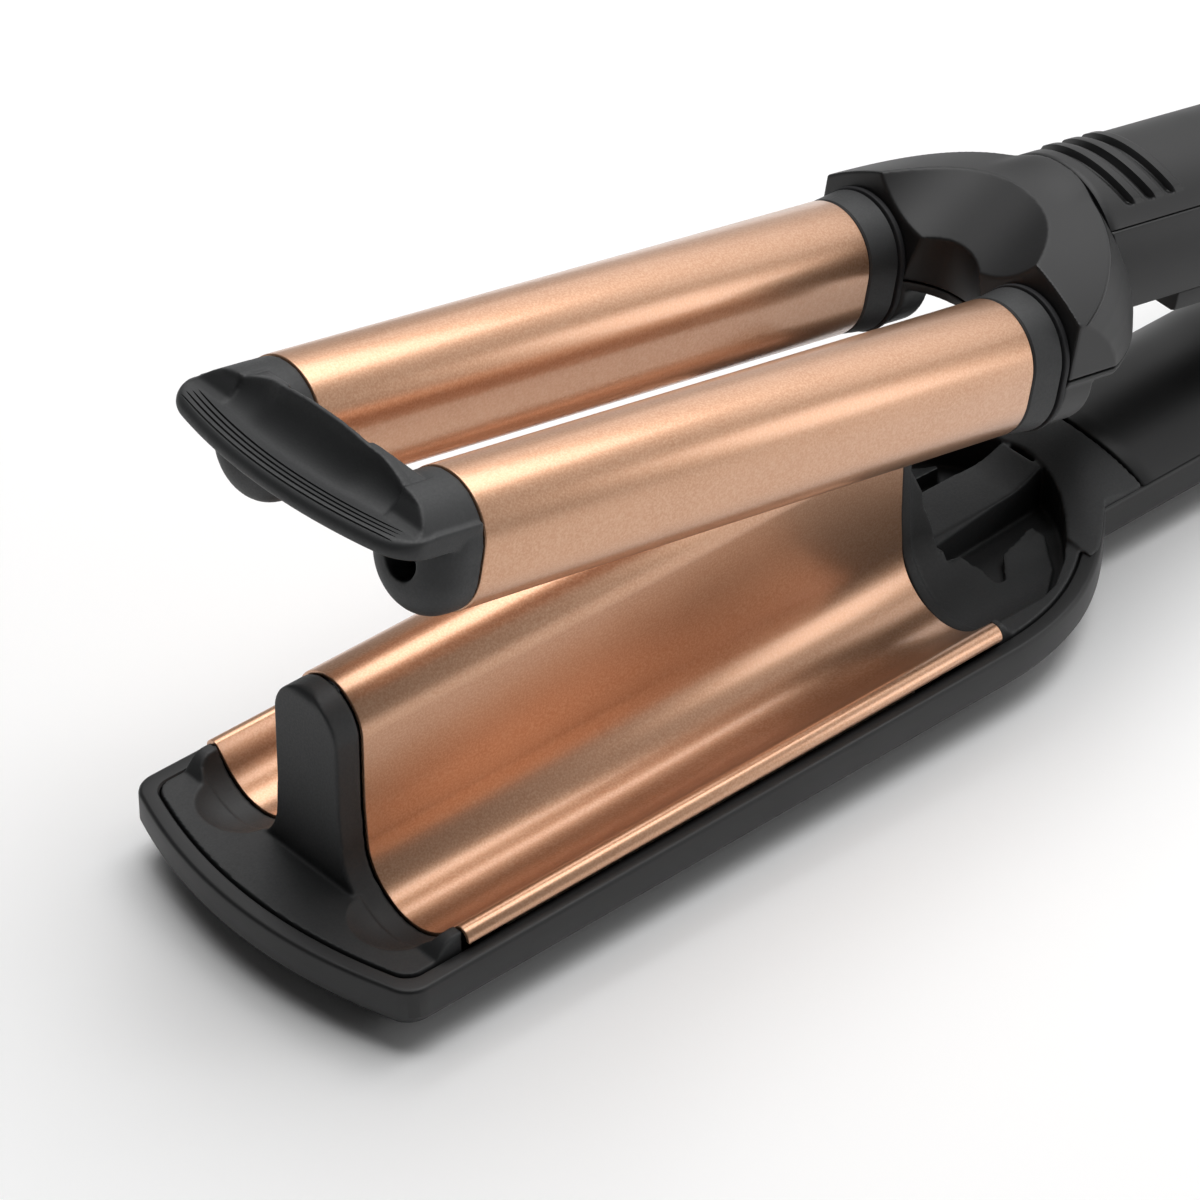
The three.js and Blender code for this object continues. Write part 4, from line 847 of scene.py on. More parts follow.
def build_rear_insert():
    """Heat-proof rear: lip round the plate's end, bowl, falling spine, two pockets, neck."""
    start = REAR_START
    fall = [[END_LIP, 31.3], [2.35, 18.6], [3.7, 15.9], [5.3, 12.5], [5.9, 8.9]]
    fall += [[7.7, 4.1], [8.1, SPINE_TOP]]
    profile = [[start, INSERT_FLOOR], [start, RIDGE_TOP - INSERT_DROP]]
    profile += [[start + along, z] for along, z in fall]
    profile += [[SPINE_END, SPINE_TOP], [SPINE_END, INSERT_FLOOR]]
    spine = slab("X", under_wave(INSERT_DROP, INSERT_FLOOR, CORNER_INNER), start, start + END_LIP)
    bowl = slab("X", under_wave(BOWL_DROP, INSERT_FLOOR, CORNER_INNER), start, BOWL_END)
    crest = [[SPINE_HALF, INSERT_FLOOR], [SPINE_HALF, SPINE_TOP - 1.2]]
    crest += [[SPINE_HALF - 1.1, SPINE_TOP + 0.01]]
    strip = slab("X", crest + [[-y, z] for y, z in reversed(crest)], BOWL_END - 1, SPINE_END)
    carve(spine, bowl, strip, how="UNION")
    side = slab("Y", profile, -INSERT_HALF, INSERT_HALF)
    carve(spine, side, slab("Z", spine_plan(), INSERT_FLOOR, RIDGE_TOP), how="INTERSECT")
    insert = slab("Z", hull(INSERT_INSET), INSERT_FLOOR, INSERT_TOP)
    span = block((start, -40, INSERT_FLOOR - 1), (NECK_END, 40, INSERT_TOP + 1))
    carve(insert, span, how="INTERSECT")
    neck_length = NECK_END + 5 - NECK_START
    neck = skin([neck_ring(NECK_START + neck_length * i / 30) for i in range(31)])
    plan = [[NECK_END - 0.1 + NECK_BOW * (y / GRIP_HALF) ** 2, y] for y in range(-18, 19)]
    plan += [[NECK_START - 1, 30], [NECK_START - 1, -30]]
    inside_shell = slab("Z", hull(0.3), INSERT_TOP - 1, CROWN_Z)
    bowed_end = slab("Z", plan, INSERT_TOP - 2, CROWN_Z + 1)
    carve(neck, inside_shell, bowed_end, how="INTERSECT")
    carve(insert, neck, how="UNION")
    valley = (VALLEY_Y, STADIUM_LOW)
    shelf = slab("Z", SHELF, INSERT_FLOOR - 1, SPINE_TOP - 0.5)
    carve(shelf, rod("X", valley, BOWL_END - 2, SHOULDER_END, VALLEY_R + BOWL_DROP, 128))
    pocket = slab("Z", POCKET, POCKET_FLOOR, CROWN_Z)
    carve(pocket, slab("Z", spine_plan(), INSERT_FLOOR, CROWN_Z + 1), shelf)
    bowl_run = rod("X", valley, start - 1, BOWL_END + 0.1, VALLEY_R + BOWL_DROP, 128)
    carve(insert, *both(pocket), *both(bowl_run))
    corner_profile = [[start, INSERT_TOP - 1], [start, INSERT_DROP]]
    corner_profile += [[start + END_LIP / 2, INSERT_DROP], [start + 2 * END_LIP, INSERT_TOP - 1]]
    corner = slab("Y", corner_profile, CORNER_INNER, INSERT_HALF)
    carve(corner, rod("X", valley, start - 1, BOWL_END, VALLEY_R + INSERT_DROP, 128))
    carve(insert, spine, *both(corner), how="UNION")
    return seat(moulded(insert, 0.3, 6), "rear_moulding", "rear_insert", 50)


def lower_back(inset):
    """Arc of the lower grip's back, from side to side."""
    rise = cover_high.z - cover_low.z
    radius = (cover_high.y ** 2 + rise ** 2) / (2 * rise)
    span = math.degrees(math.asin(cover_high.y / radius))
    return arc(0, cover_high.z - radius, radius - inset, 90 - span, 90 + span, 64)


def build_lower_cover():
    """Curved cover of the lower grip with counterbored screw holes and seats for the two stops."""
    start, end = cover_low.x, cover_high.x
    stations = [(start, 0.3), (start + 0.1, 0.12), (start + 0.3, 0)]
    stations += [(start + 0.3 + (end - start - 0.6) * i / 40, 0) for i in range(1, 41)]
    stations += [(end - 0.1, 0.12), (end, 0.3)]
    rings = []
    for x, trim in stations:
        bow = NECK_BOW * max(0, 1 - (x - start) / 40) ** 2
        section = lower_back(trim) + lower_back(COVER_WALL)[::-1]
        rings.append([(x + bow * (y / GRIP_HALF) ** 2, y, z) for y, z in section])
    cover = skin(rings)
    holes = []
    for name in ("lower_screw_1", "lower_screw_2"):
        low, high = drawn(name)
        x = (low.x + high.x) / 2
        radius = (high.x - low.x) / 2 + FIT
        holes.append(rod("Z", (x, 0), high.z - 1.8, cover_high.z + 1, radius, 40))
        holes.append(rod("Z", (x, 0), INSERT_FLOOR, cover_high.z, PILOT_R, 24))
    for name in ("stop_pad_far", "stop_pad_near"):
        low, high = drawn(name)
        centre = ((low.x + high.x) / 2, (low.y + high.y) / 2)
        radius = (high.x - low.x) / 2 + FIT
        holes.append(rod("Z", centre, low.z - FIT, cover_high.z + 1, radius, 40))
    return seat(carve(cover, *holes), "lower_grip_cover", "lower_handle_cover", 40)


def build_stop_pads():
    """Rubber stops with a rounded top."""
    for side in ("far", "near"):
        low, high = drawn(f"stop_pad_{side}")
        radius = (high.x - low.x) / 2
        profile = [[0, low.z], [radius, low.z], [radius, high.z - 0.6]]
        profile += [[radius - 0.2, high.z - 0.2], [radius - 0.7, high.z - 0.02], [0, high.z]]
        pad = turned("Z", ((low.x + high.x) / 2, (low.y + high.y) / 2), profile, 48)
        seat(pad, f"rubber_stop_{side}", f"stop_pad_{side}")


def build_screws():
    """Pan-head screws with a cross recess; the head is the widest part of the CAD node."""
    for name in ("lower_screw_1", "lower_screw_2"):
        low, high = drawn(name)
        x = (low.x + high.x) / 2
        radius = (high.x - low.x) / 2
        head = high.z - 1.5
        profile = [[0, low.z], [1.2, low.z + 0.6], [1.2, head], [radius, head]]
        profile += [[radius, high.z - 0.5], [radius - 0.3, high.z - 0.15]]
        profile += [[radius - 1, high.z], [0, high.z]]
        screw = turned("Z", (x, 0), profile, 48)
        cross = [
            block((x - a, -b, high.z - 0.8), (x + a, b, high.z + 1))
            for a, b in ((1.3, 0.3), (0.3, 1.3))
        ]
        seat(carve(screw, *cross), name.replace("lower", "cover"), name)


def build_hinge_caps():
    """Press-in hinge caps with a rounded rim and a shallow dish."""
    for side, sign in (("far", 1), ("near", -1)):
        low, high = drawn(f"hinge_cap_{side}")
        radius = (high.x - low.x) / 2
        inner, outer = sorted((abs(low.y), abs(high.y)))
        profile = [[0, inner], [radius, inner], [radius, outer - 0.6], [radius - 0.2, outer - 0.15]]
        profile += [[radius - 0.7, outer], [radius - 1.4, outer]]
        profile += [[radius - 2, outer - 0.35], [0, outer - 0.5]]
        cap = turned("Y", HINGE_AXIS, [[r, sign * along] for r, along in profile], 64)
        seat(cap, f"hinge_cover_{side}", f"hinge_cap_{side}")


def build_gland():
    """Swivelling cord inlet: a flange inside the shell, a stepped nose and an open bore."""
    low, high = drawn("cord_gland")
    centre = ((low.y + high.y) / 2, (low.z + high.z) / 2)
    flange = (high.y - low.y) / 2
    neck = flange - 2
    bore = 2.7
    end = high.x
    profile = [[bore, low.x], [flange, low.x], [flange, low.x + 3.7], [neck, low.x + 3.7]]
    profile += [[neck, end - 5.5], [neck - 0.2, end - 5], [neck - 0.6, end - 4.5]]
    profile += [[neck - 0.7, end - 1], [neck - 1, end - 0.3], [neck - 1.6, end]]
    profile += [[bore + 0.5, end], [bore, end - 0.5], [bore, low.x]]
    gland = turned("X", centre, profile, 72)
    return seat(gland, "cord_inlet", "cord_gland")


# Upper jaw

def build_collars():
    """Collar that widens from the barrel to the hub, and the thin seal ring behind it."""
    spigot = BARREL_R - BARREL_WALL - FIT
    wide = (collar_high.z - collar_low.z - (STADIUM_HIGH - STADIUM_LOW)) / 2
    seat_end = ring_low.x - FIT
    start = BARREL_END + FIT
    stations = [
        (collar_low.x, spigot), (start, spigot), (start, BARREL_R - 0.3), (start + 0.3, BARREL_R),
        (seat_end - 0.3, wide), (seat_end, wide - 0.3), (seat_end, spigot), (collar_high.x, spigot),
    ]
    collar = skin([[(x, y, z) for y, z in stadium(radius)] for x, radius in stations])
    carve(collar, slab("X", stadium(spigot - 1.8), collar_low.x - 1, collar_high.x + 1))
    outer = (ring_high.z - ring_low.z - (STADIUM_HIGH - STADIUM_LOW)) / 2
    ring = slab("X", stadium(outer), ring_low.x, ring_high.x)
    carve(ring, slab("X", stadium(BARREL_R - BARREL_WALL), ring_low.x - 1, ring_high.x + 1))
    bevelled(ring, 0.25, 3, 60)
    pieces = ((collar, "collar", "barrel_collar"), (ring, "seal_ring", "collar_ring"))
    for piece, label, node_name in pieces:
        far, near = both(piece)
        seat(far, f"{label}_far", f"{node_name}_far")
        seat(near, f"{label}_near", f"{node_name}_near")


def bridge_crest(y):
    return max(BRIDGE_RIM + 0.1, BRIDGE_CREST - BRIDGE_FALL * (abs(y) / CREST_HALF) ** 2.5)


def finger_ring(y):
    """Outline of the finger rest across one plane y: rounded lip, flat rim, scoop up to a crest."""
    share = abs(y) / BRIDGE_HALF
    turn = max(0, (abs(y) - BRIDGE_HALF + BRIDGE_CORNER) / BRIDGE_CORNER)
    pull = 1 - math.sqrt(max(0, 1 - turn ** 2.2))
    front = BRIDGE_FRONT + BRIDGE_BOW * share ** 2 + 4.2 * pull
    low = BRIDGE_RIM - BRIDGE_LIP
    lip = BRIDGE_LIP / 2
    back = BRIDGE_REAR + 1.2 * min(max((abs(y) - RIDGE_HALF - NOSE_ROOM) / 5, 0), 1)
    crest_x = min(back - 1, -6.2 - 1.2 * (abs(y) / CREST_HALF) ** 2)
    start = max(front + lip + 0.6, min(front + 5.6, crest_x - 0.6))
    crest_x = max(crest_x, start + 0.4)
    rear = max(back, crest_x + 0.9)
    if abs(y) > BRIDGE_LEDGE:  # the lip runs back along the cap's side
        rear = BARREL_START - 0.2
    top = bridge_crest(y)
    ring = [(rear, y, low), (front + 3, y, low)]
    ring += [(a, y, b) for a, b in arc(front + lip, low + lip, lip, 260, 100, 14)]
    ring += [(front + lip + 0.5, y, BRIDGE_RIM), (start, y, BRIDGE_RIM)]
    for i in range(1, 17):
        t = i / 16
        climb = 1 - (1 - t ** 1.75) ** (1 / 1.75)
        ring.append((start + (crest_x - start) * t, y, BRIDGE_RIM + (top - BRIDGE_RIM) * climb))
    return ring + [(crest_x + 0.4, y, top + 0.05), (rear - 0.2, y, top), (rear, y, top - 0.3)]


def build_bridge():
    """Finger rest and both barrel caps in one matte moulding, with fine grooves along its rim."""
    spread = [BRIDGE_HALF * math.sin(math.radians(a)) for a in range(-90, 91, 3)]
    rest = skin([finger_ring(y) for y in spread])
    cap_radius = BARREL_R - 0.2
    spigot = BARREL_R - BARREL_WALL - FIT
    depth = 5.6
    stations = []
    for t in (0, 0.01, 0.03, 0.07, 0.12, 0.2, 0.3, 0.42, 0.55, 0.7, 0.85, 1):
        share = 0.35 + 0.65 * (1 - (1 - t) ** 2.2) ** (1 / 2.2)
        stations.append((CAP_FRONT + depth * t, cap_radius * share))
    cap_end = BARREL_START - 0.15
    stations += [(cap_end, cap_radius), (cap_end, spigot), (bridge_high.x, spigot)]
    cap = skin([[(x, y, z) for y, z in stadium(radius)] for x, radius in stations])
    brace = BRIDGE_REAR + 0.5
    profile = [[brace, 11], [-1.5, 11], [-1.5, 17.6], [brace, BRIDGE_CREST - 0.6]]
    inner = RIDGE_HALF + NOSE_ROOM
    shoulder = slab("Y", profile, inner, BARREL_Y + 3)
    flare = [[brace - 1, inner - 0.1], [brace + 0.2, inner - 0.1], [-1.4, inner + 4.4]]
    flare += [[-1.4, BARREL_Y + 4], [brace - 1, BARREL_Y + 4]]
    carve(shoulder, slab("Z", flare, 10, BRIDGE_CREST + 1), how="INTERSECT")
    arch = [[y, bridge_crest(y) - 0.15] for y in range(-26, 27)]
    carve(shoulder, slab("X", arch + [[26, 8], [-26, 8]], brace - 1, 0), how="INTERSECT")
    cheek = slab("X", stadium(cap_radius + 0.03), -10.8, -0.8)
    roof = [[-11, 11], [BARREL_START, 11], [BARREL_START, 20], [-7, 20]]
    roof += [[-7.6, 17.6], [-9.2, 15], [-11, 14.1]]
    plan = [[-11.5, 24], [-11, 26.4], [-10.2, 27.6], [-9, 28.4], [-7, 29], [BARREL_START, 29.2]]
    plan += [[BARREL_START, BARREL_Y], [-11.5, BARREL_Y]]
    belly = [[10, 11.2], [27, 11.2], [29.2, 12.8], [29.2, 20], [10, 20]]
    tools = [slab("Y", roof, 10, 30), slab("Z", plan, 10, 21), slab("X", belly, -12, BARREL_START)]
    carve(cheek, *tools, how="INTERSECT")
    carve(rest, *both(cap), *both(shoulder), *both(cheek), how="UNION")
    low, high = drawn("bridge_screw_far")
    centre = (BARREL_Y, (low.z + high.z) / 2 + 0.2)
    carve(rest, *both(rod("X", centre, CAP_FRONT - 1, low.x + 1.3, SCREW_HOLE, 48)))
    moulded(rest, 0.3, 5)
    carve(rest, *both(rod("X", centre, CAP_FRONT, BARREL_START + 1, PILOT_R, 32)))
    carve(rest, *[rim_groove(offset) for offset in (1.0, 2.05, 3.1, 4.15)])
    return seat(rest, "finger_rest", "front_bridge", 60)


def rim_groove(offset):
    """Cutter for one fine groove along the finger rest's front edge, pointed at both ends."""
    reach = 25.9 - 0.3 * offset
    spread = [reach * i / 24 for i in range(-24, 25)]
    front = []
    rear = []
    for y in spread:
        half_width = 0.22 * math.sqrt(max(0, 1 - (abs(y) / reach) ** 8))
        middle = BRIDGE_FRONT + BRIDGE_BOW * (y / BRIDGE_HALF) ** 2 + offset
        front.append([middle - half_width - 0.005, y])
        rear.append([middle + half_width + 0.005, y])
    return slab("Z", front + rear[::-1], BRIDGE_RIM - 0.4, BRIDGE_RIM + 2)


def hub_crown(x, y):
    """Height of the hub's crown: a flat dome that rises at the rear to meet the grip's back."""
    dome = HUB_CROWN_Z - HUB_CROWN_R + math.sqrt(HUB_CROWN_R ** 2 - y ** 2)
    back = GRIP_CENTRE + math.sqrt(max(0, GRIP_HALF ** 2 - y ** 2))
    t = min(max((x - HUB_BLEND) / (GRIP_START - HUB_BLEND), 0), 1)
    rise = back - dome
    return dome + t * t * (3 - 2 * t) * 0.5 * (rise + math.hypot(rise, 0.3))


def hub_outline(reach, half, inset, steps=56):
    """Half of an oval in plan, from the hub's side to the middle of its rear."""
    widest = math.asin((HUB_HALF - inset) / (half - inset))
    turns = [widest * (1 - i / steps) for i in range(steps + 1)]
    along, across = reach - inset, half - inset
    oval = [[HUB_OVAL_X + along * math.cos(t), across * math.sin(t)] for t in turns]
    return [[HUB_OVAL_X, HUB_HALF - inset]] + oval


def hub_ring(half):
    return half + [(x, -y, z) for x, y, z in reversed(half[:-1])]


def hub_foot_ring(inset, z):
    return hub_ring([(x, y, z) for x, y in hub_outline(*HUB_FOOT, inset)])


def hub_solid(inset, front):
    """Hub without its openings: bulging flanks between the foot's and the crown's oval."""
    foot = hub_outline(*HUB_FOOT, inset)
    edge = hub_outline(*HUB_EDGE, inset)
    rings = []
    for share in (0, 0.25, 0.5, 0.75, 1, 1.25, 1.5):
        bulge = 4 * HUB_BULGE * share * (1 - share)
        half = []
        for i, ((x, y), (edge_x, edge_y)) in enumerate(zip(foot, edge)):
            top = hub_crown(edge_x, edge_y) - inset
            half.append((
                x + share * (edge_x - x) + (bulge if i else 0),
                y + share * (edge_y - y),
                HUB_SPLIT + share * (top - HUB_SPLIT),
            ))
        rings.append(hub_ring(half))
    solid = skin(rings)
    crown = []
    span = HUB_HALF + 4
    across = [span * (1 - i / 40) for i in range(81)]
    stations = [front + (HUB_BLEND - front) * i / 4 for i in range(4)]
    for x in stations + [HUB_BLEND + i for i in range(17)]:
        ring = [(x, y, hub_crown(x, y) - inset) for y in across]
        crown.append(ring + [(x, -span, HUB_SPLIT - 3), (x, span, HUB_SPLIT - 3)])
    return carve(solid, skin(crown), how="INTERSECT")


def hub_gutter(drop):
    """Cutter for the smooth scoop that climbs rearwards out of the hub's front."""
    rings = []
    for x in (HUB_FRONT - 4, GRIP_START):
        floor = HUB_SCOOP_Z + HUB_SCOOP_SLOPE * (x - HUB_FRONT)
        span = [23 * (i / 32 - 1) for i in range(65)]
        ring = [(x, y, floor + HUB_SCOOP_CURL * abs(y) ** 3 - drop) for y in span]
        rings.append(ring + [(x, 23, ring[0][2] + drop + 4), (x, -23, ring[0][2] + drop + 4)])
    return skin(rings)


def hub_notch(grow, low, high):
    """Cutter for the upright notch between the barrels, slightly narrower towards its top."""
    def radius(z):
        return HUB_NOTCH_R - HUB_NOTCH_DRAFT * (z - HUB_SPLIT) + grow
    return cone((HUB_NOTCH_X, 0, (low + high) / 2), radius(low), radius(high), high - low)


def grip_section(radius, low, high, steps=48):
    """Round-backed section of the upper grip between two heights."""
    first = math.degrees(math.asin((low - GRIP_CENTRE) / radius))
    last = math.degrees(math.asin(min(1, (high - GRIP_CENTRE) / radius)))
    right = arc(0, GRIP_CENTRE, radius, first, last, steps)
    left = arc(0, GRIP_CENTRE, radius, 180 - last, 180 - first, steps)
    return right + (left[1:] if last > 89.9 else left)


def crown_seam():
    """Cutter for the fine parting line along the edge of the crown."""
    half = hub_outline(*HUB_EDGE, 0)[1:]
    path = half + [[x, -y] for x, y in reversed(half[:-1])]
    width = 0.15
    depth = 0.35
    rings = []
    for x, y in path:
        out = Vector((x - HUB_OVAL_X, y, 0)).normalized() * width
        z = hub_crown(x, y)
        corners = ((-1, -depth), (1, -depth), (1, 1), (-1, 1))
        rings.append([(x + a * out.x, y + a * out.y, z + b) for a, b in corners])
    return skin(rings)


def build_hub():
    """Two hub shells: the scooped upper one with crisp edges, the lower one with barrel bosses."""
    top = carve(hub_solid(0, HUB_FRONT), hub_gutter(0), hub_notch(0, HUB_SPLIT - 2, HUB_BRIM))
    section = grip_section(GRIP_HALF + FIT, HUB_SPLIT - 1, CROWN_Z + 1)
    carve(top, slab("X", section, GRIP_START - FIT, HUB_REAR + 2))
    moulded(top, 0.3, 2)
    carve(top, crown_seam())
    hollow = hub_solid(HUB_WALL, HUB_FRONT + HUB_WALL)
    section = grip_section(GRIP_HALF - 2 * HUB_WALL, HUB_SPLIT + 0.01, CROWN_Z)
    carve(hollow, slab("X", section, GRIP_START - 6, HUB_REAR), how="UNION")
    carve(hollow, hub_gutter(HUB_WALL), hub_notch(HUB_WALL, HUB_SPLIT - 2, HUB_BRIM))
    bore = BARREL_R - BARREL_WALL
    opening = slab("X", stadium(bore), HUB_FRONT - 1, HUB_FRONT + HUB_WALL + 1)
    carve(top, hollow, *both(opening))
    seat(top, "hub_upper_shell", "hub_top", 40)
    under = skin([
        hub_foot_ring(1.6, UNDER_FLOOR), hub_foot_ring(0.5, UNDER_FLOOR + 0.4),
        hub_foot_ring(0, UNDER_FLOOR + 1.2), hub_foot_ring(0, HUB_SPLIT - FIT),
    ])
    carve(under, block((HUB_FRONT, -40, 0), (HUB_REAR, 40, HUB_SPLIT)), how="INTERSECT")
    boss = slab("X", stadium(BOSS_R), HUB_FRONT, BOSS_END)
    span = block((HUB_FRONT, 0, UNDER_LOW - 1), (BOSS_END, HUB_HALF, HUB_SPLIT - FIT))
    carve(boss, span, how="INTERSECT")
    carve(under, *both(boss), how="UNION")
    carve(under, hub_notch(0, UNDER_LOW - 2, HUB_SPLIT))
    moulded(under, 0.3, 3)
    carve(under, *both(slab("X", stadium(bore), HUB_FRONT - 1, BOSS_END - 2)))
    return seat(under, "hub_lower_shell", "hub_bottom", 40)


def grip_back(along, angle):
    """Radius of the upper grip's back: each groove falls gently and ends in a raised rib."""
    past = max(0, abs(angle) - GROOVE_REACH) * GRIP_HALF
    fade = max(0, 1 - (past / 1.3) ** 2)
    height = 0
    for first in GROOVES:
        for low, high, start, end in GROOVE_SLOPES:
            if low <= along - first < high:
                t = (along - first - low) / (high - low)
                height = start + (end - start) * t * t * (3 - 2 * t)
    return GRIP_HALF + height * fade


def build_upper_cap():
    """Back shell of the upper grip with three grooves, the button holes and the light's slot."""
    seam = math.acos((SEAM_Z - GRIP_CENTRE) / GRIP_HALF)
    inside = GRIP_HALF - GRIP_WALL
    bow_in = GROOVES[0] - 2
    bow_out = GROOVES[-1] + 4
    bow_end = bow_out + 16
    stations = [GRIP_START, GRIP_START + 0.15, GRIP_START + 0.5]
    stations += [GRIP_START + 1 + 0.2 * i for i in range(90)]
    last = GRIP_END - 0.6
    stations += [stations[-1] + (last - stations[-1]) * i / 40 for i in range(1, 41)]
    stations += [GRIP_END - 0.2, GRIP_END]
    angles = [seam * (1 - i / 60) for i in range(121)]
    rings = []
    for along in stations:
        share = min(max((along - GRIP_START) / (bow_in - GRIP_START), 0), 1)
        share *= min(max((bow_end - along) / (bow_end - bow_out), 0), 1)
        trim = 0.35 * max(0, 1 - min(along - GRIP_START, GRIP_END - along) / 0.5) ** 2
        outer = []
        inner = []
        for angle in angles:
            x = along + share * GROOVE_BOW * min(abs(angle) / GROOVE_REACH, 1.1) ** 2
            radius = grip_back(along, angle) - trim
            outer.append((x, radius * math.sin(angle), GRIP_CENTRE + radius * math.cos(angle)))
            inner.append((x, inside * math.sin(angle), GRIP_CENTRE + inside * math.cos(angle)))
        rings.append(outer + inner[::-1])
    cap = skin(rings)
    cutters = []
    for name in BUTTONS:
        low, high = drawn(name)
        centre = ((low.x + high.x) / 2, 0)
        cutters.append(rod("Z", centre, SEAM_Z, CROWN_Z + 1, BUTTON_R + 0.35, 64))
    low, high = drawn("light_pipe")
    slot_end = (high.x + FIT, high.y + FIT, CROWN_Z + 2)
    cutters.append(block((low.x - FIT, low.y - FIT, low.z), slot_end))
    return seat(carve(cap, *cutters), "upper_grip_back", "upper_handle_cap", 35)


def build_trough():
    """Lower half of the upper grip, flat below, with the hinge knuckle at its end."""
    section = grip_section(GRIP_HALF, HUB_SPLIT, SEAM_Z - FIT)
    trough = slab("X", section, GRIP_START, GRIP_END)
    bevelled(trough, 0.35, 3, 40)
    section = grip_section(GRIP_HALF - GRIP_WALL, HUB_SPLIT + GRIP_WALL, CROWN_Z)
    carve(trough, slab("X", section, GRIP_START - 1, GRIP_END - 3.5))
    knuckle = rod("Y", HINGE_AXIS, -KNUCKLE_HALF, KNUCKLE_HALF, KNUCKLE_R, 96)
    web_end = (HINGE_X, KNUCKLE_HALF, HINGE_Z + KNUCKLE_R)
    carve(knuckle, block((GRIP_END - 2, -KNUCKLE_HALF, HUB_SPLIT), web_end), how="UNION")
    bevelled(knuckle, 0.6, 3, 50)
    carve(trough, knuckle, how="UNION")
    cutters = [
        rod("Y", HINGE_AXIS, -20, 20, PIN_BORE_R, 48),
        rod("Y", HINGE_AXIS, -SPRING_HALF, SPRING_HALF, SPRING_BORE_R, 64),
    ]
    for name in ("upper_screw_1", "upper_screw_2"):
        low, high = drawn(name)
        x = (low.x + high.x) / 2
        head = (high.x - low.x) / 2 + FIT
        cutters.append(rod("Z", (x, 0), HUB_SPLIT - 1, HUB_SPLIT + 1.5, head, 40))
        cutters.append(rod("Z", (x, 0), HUB_SPLIT, HUB_SPLIT + 4, PILOT_R, 24))
    return seat(carve(trough, *cutters), "upper_grip_trough", "upper_handle_trough", 35)


def build_pad():
    """Inner lining of the upper grip, hollowed to lie over the lower grip, with rounded edges."""
    low, high = pad_low, pad_high
    hollow = [[y, z + PAD_GAP] for y, z in lower_back(0) if z + PAD_GAP > low.z]
    section = [[high.y, high.z], [low.y, high.z], [low.y, low.z + 1]]
    section += [[low.y + 0.3, low.z + 0.3], [low.y + 1, low.z]] + hollow[::-1]
    section += [[high.y - 1, low.z], [high.y - 0.3, low.z + 0.3], [high.y, low.z + 1]]
    lining = bevelled(slab("X", section, low.x, high.x), 0.3, 3, 50)
    return seat(lining, "upper_grip_lining", "upper_handle_pad", 40)


def power_mark(x):
    """Broken ring with an upright bar."""
    ring = arc(x, 0, 1.5, 35, 325, 32) + arc(x, 0, 1.15, 325, 35, 32)
    return [ring, [[x + 0.4, -0.18], [x + 2, -0.18], [x + 2, 0.18], [x + 0.4, 0.18]]]


def plus_mark(x):
    return minus_mark(x) + [[[x - 1.4, -0.2], [x + 1.4, -0.2], [x + 1.4, 0.2], [x - 1.4, 0.2]]]


def minus_mark(x):
    return [[[x - 0.2, -1.4], [x + 0.2, -1.4], [x + 0.2, 1.4], [x - 0.2, 1.4]]]


def build_buttons():
    """Keys with a dished top and a sunk sign: power, warmer, cooler."""
    for name, mark in zip(BUTTONS, (power_mark, plus_mark, minus_mark)):
        low, high = drawn(name)
        x = (low.x + high.x) / 2
        flange = (high.x - low.x) / 2
        profile = [[0, low.z], [flange, low.z], [flange, low.z + 1.1], [BUTTON_R, low.z + 1.1]]
        edge = ((0, 0.9), (0.08, 0.55), (0.3, 0.22), (0.65, 0.05), (1, 0), (1.8, 0.12), (3, 0.25))
        profile += [[BUTTON_R - a, high.z - b] for a, b in edge] + [[0, high.z - 0.32]]
        key = turned("Z", (x, 0), profile, 96)
        marks = [slab("Z", sign, high.z - 0.6, high.z + 1) for sign in mark(x)]
        seat(carve(key, *marks), name.replace("button", "key"), name, 30)


def build_light_pipe():
    low, high = drawn("light_pipe")
    pipe = bevelled(block(low, high), 0.4, 4, 30)
    return seat(pipe, "heat_light", "light_pipe", 30)


dress_frame()
build_lower_shell()
build_wave_plate()
build_front_insert()
build_rear_insert()
build_lower_cover()
build_stop_pads()
build_screws()
build_hinge_caps()
build_gland()
build_barrels()
build_collars()
build_bridge()
build_hub()
build_upper_cap()
build_trough()
build_pad()
build_buttons()
build_light_pipe()

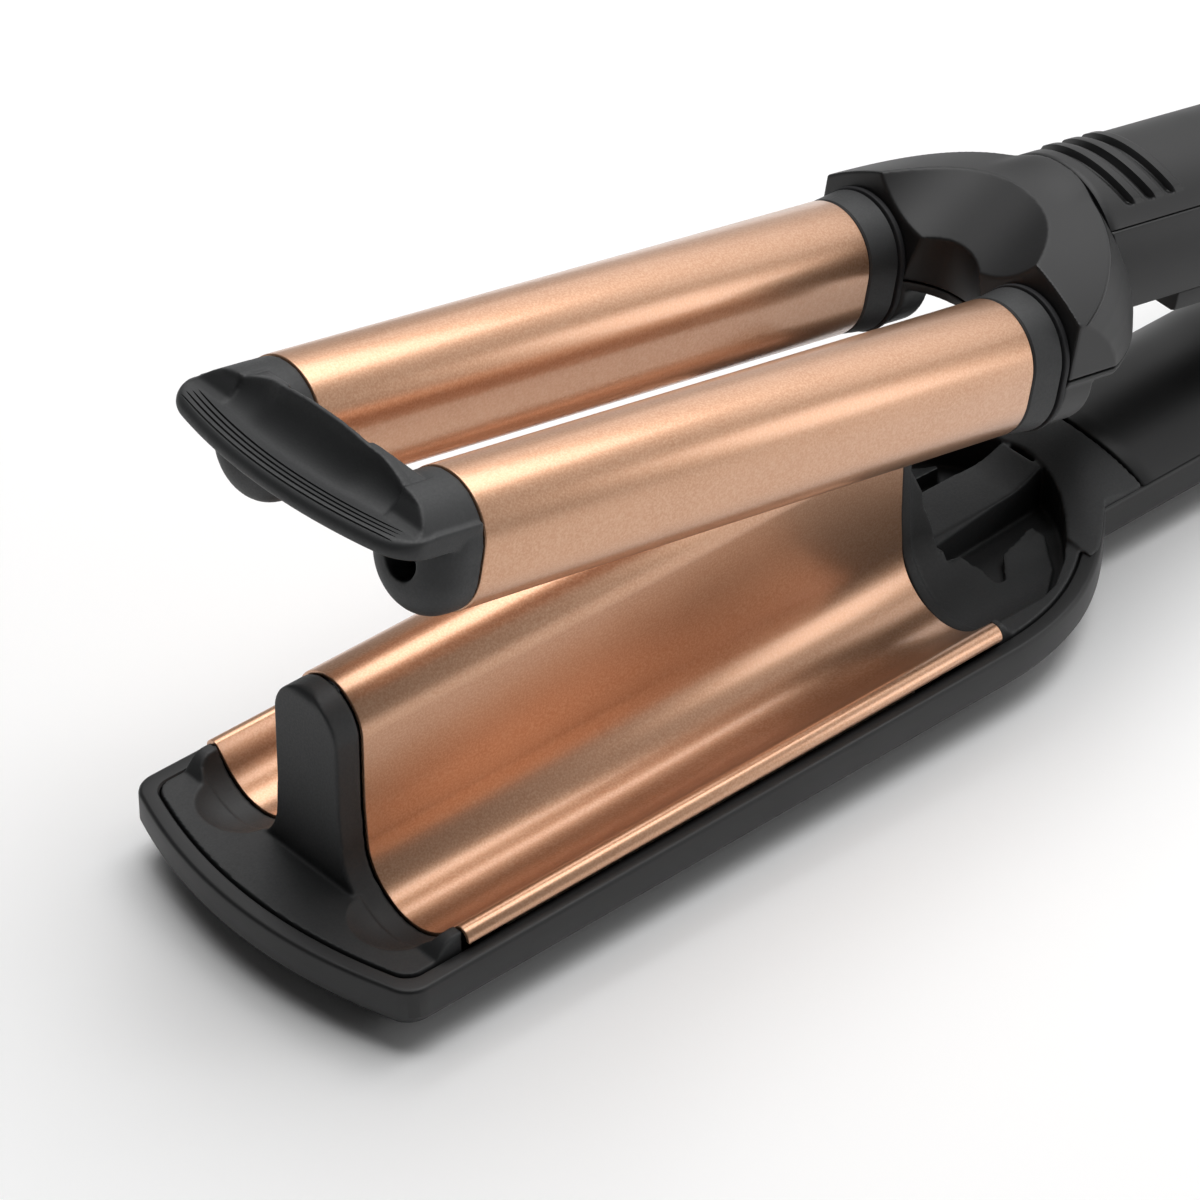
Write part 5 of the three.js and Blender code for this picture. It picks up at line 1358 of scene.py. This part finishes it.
# Camera, at the photograph's place and lens
AZIMUTH = math.radians(-41.52)
ELEVATION = math.radians(37.41)
DISTANCE = 0.9706
AIM = Vector((-0.10368, 0, 0.03536))
LENS = 178.83
SENSOR = 36
back = Vector((
    math.sin(AZIMUTH) * math.cos(ELEVATION),
    -math.cos(AZIMUTH) * math.cos(ELEVATION),
    math.sin(ELEVATION),
))
gaze = (-back).to_track_quat("-Z", "Y").to_euler()
bpy.ops.object.camera_add(location=AIM + back * DISTANCE, rotation=gaze)
camera = bpy.context.object
camera.data.sensor_width = SENSOR
camera.data.lens = LENS
camera.data.clip_end = 10
bpy.context.scene.camera = camera

# Table
bpy.ops.mesh.primitive_plane_add(size=6)
table = bpy.context.object
table.name = "table"
paper, tree, shader = blank("white studio paper")
shader.inputs["Base Color"].default_value = linear("#FBFBFB")
shader.inputs["Roughness"].default_value = 0.8
table.data.materials.append(paper)

# Light: a studio that is bright towards the tool's rear and dim in front of it
def softbox(azimuth, elevation, distance, width, height, radiance):
    """Area light seen from the tool in a direction, in degrees, with a size in metres."""
    turn, tilt = math.radians(azimuth), math.radians(elevation)
    out = Vector((math.cos(turn) * math.cos(tilt), math.sin(turn) * math.cos(tilt), math.sin(tilt)))
    bpy.ops.object.light_add(type="AREA", location=out * distance)
    lamp = bpy.context.object
    lamp.rotation_euler = out.to_track_quat("Z", "Y").to_euler()
    lamp.data.shape = "RECTANGLE"
    lamp.data.size, lamp.data.size_y = width, height
    lamp.data.energy = radiance * math.pi * width * height


# Overhead, a wide strip behind the grips, and a small one low on the near side for the second
# streak along the barrels
softbox(35, 80, 1.3, 1.35, 1.35, 3.2)
softbox(14, 35, 1.5, 1.65, 0.6, 0.72)
softbox(-42, 14, 1.4, 0.42, 0.62, 2.4)

world = bpy.data.worlds.new("studio")
bpy.context.scene.world = world
world.use_nodes = True
tree = world.node_tree
heading = node(tree, "ShaderNodeTexCoord").outputs["Generated"]
rearward = node(tree, "ShaderNodeSeparateXYZ", {"Vector": heading}).outputs["X"]
backdrop = tree.nodes["Background"]
tree.links.new(band(tree, rearward, -0.1, 0.7, 0.045, 0.62), backdrop.inputs["Strength"])
backdrop.inputs["Color"].default_value = (1, 1, 1, 1)

bpy.context.scene.view_settings.view_transform = "Standard"
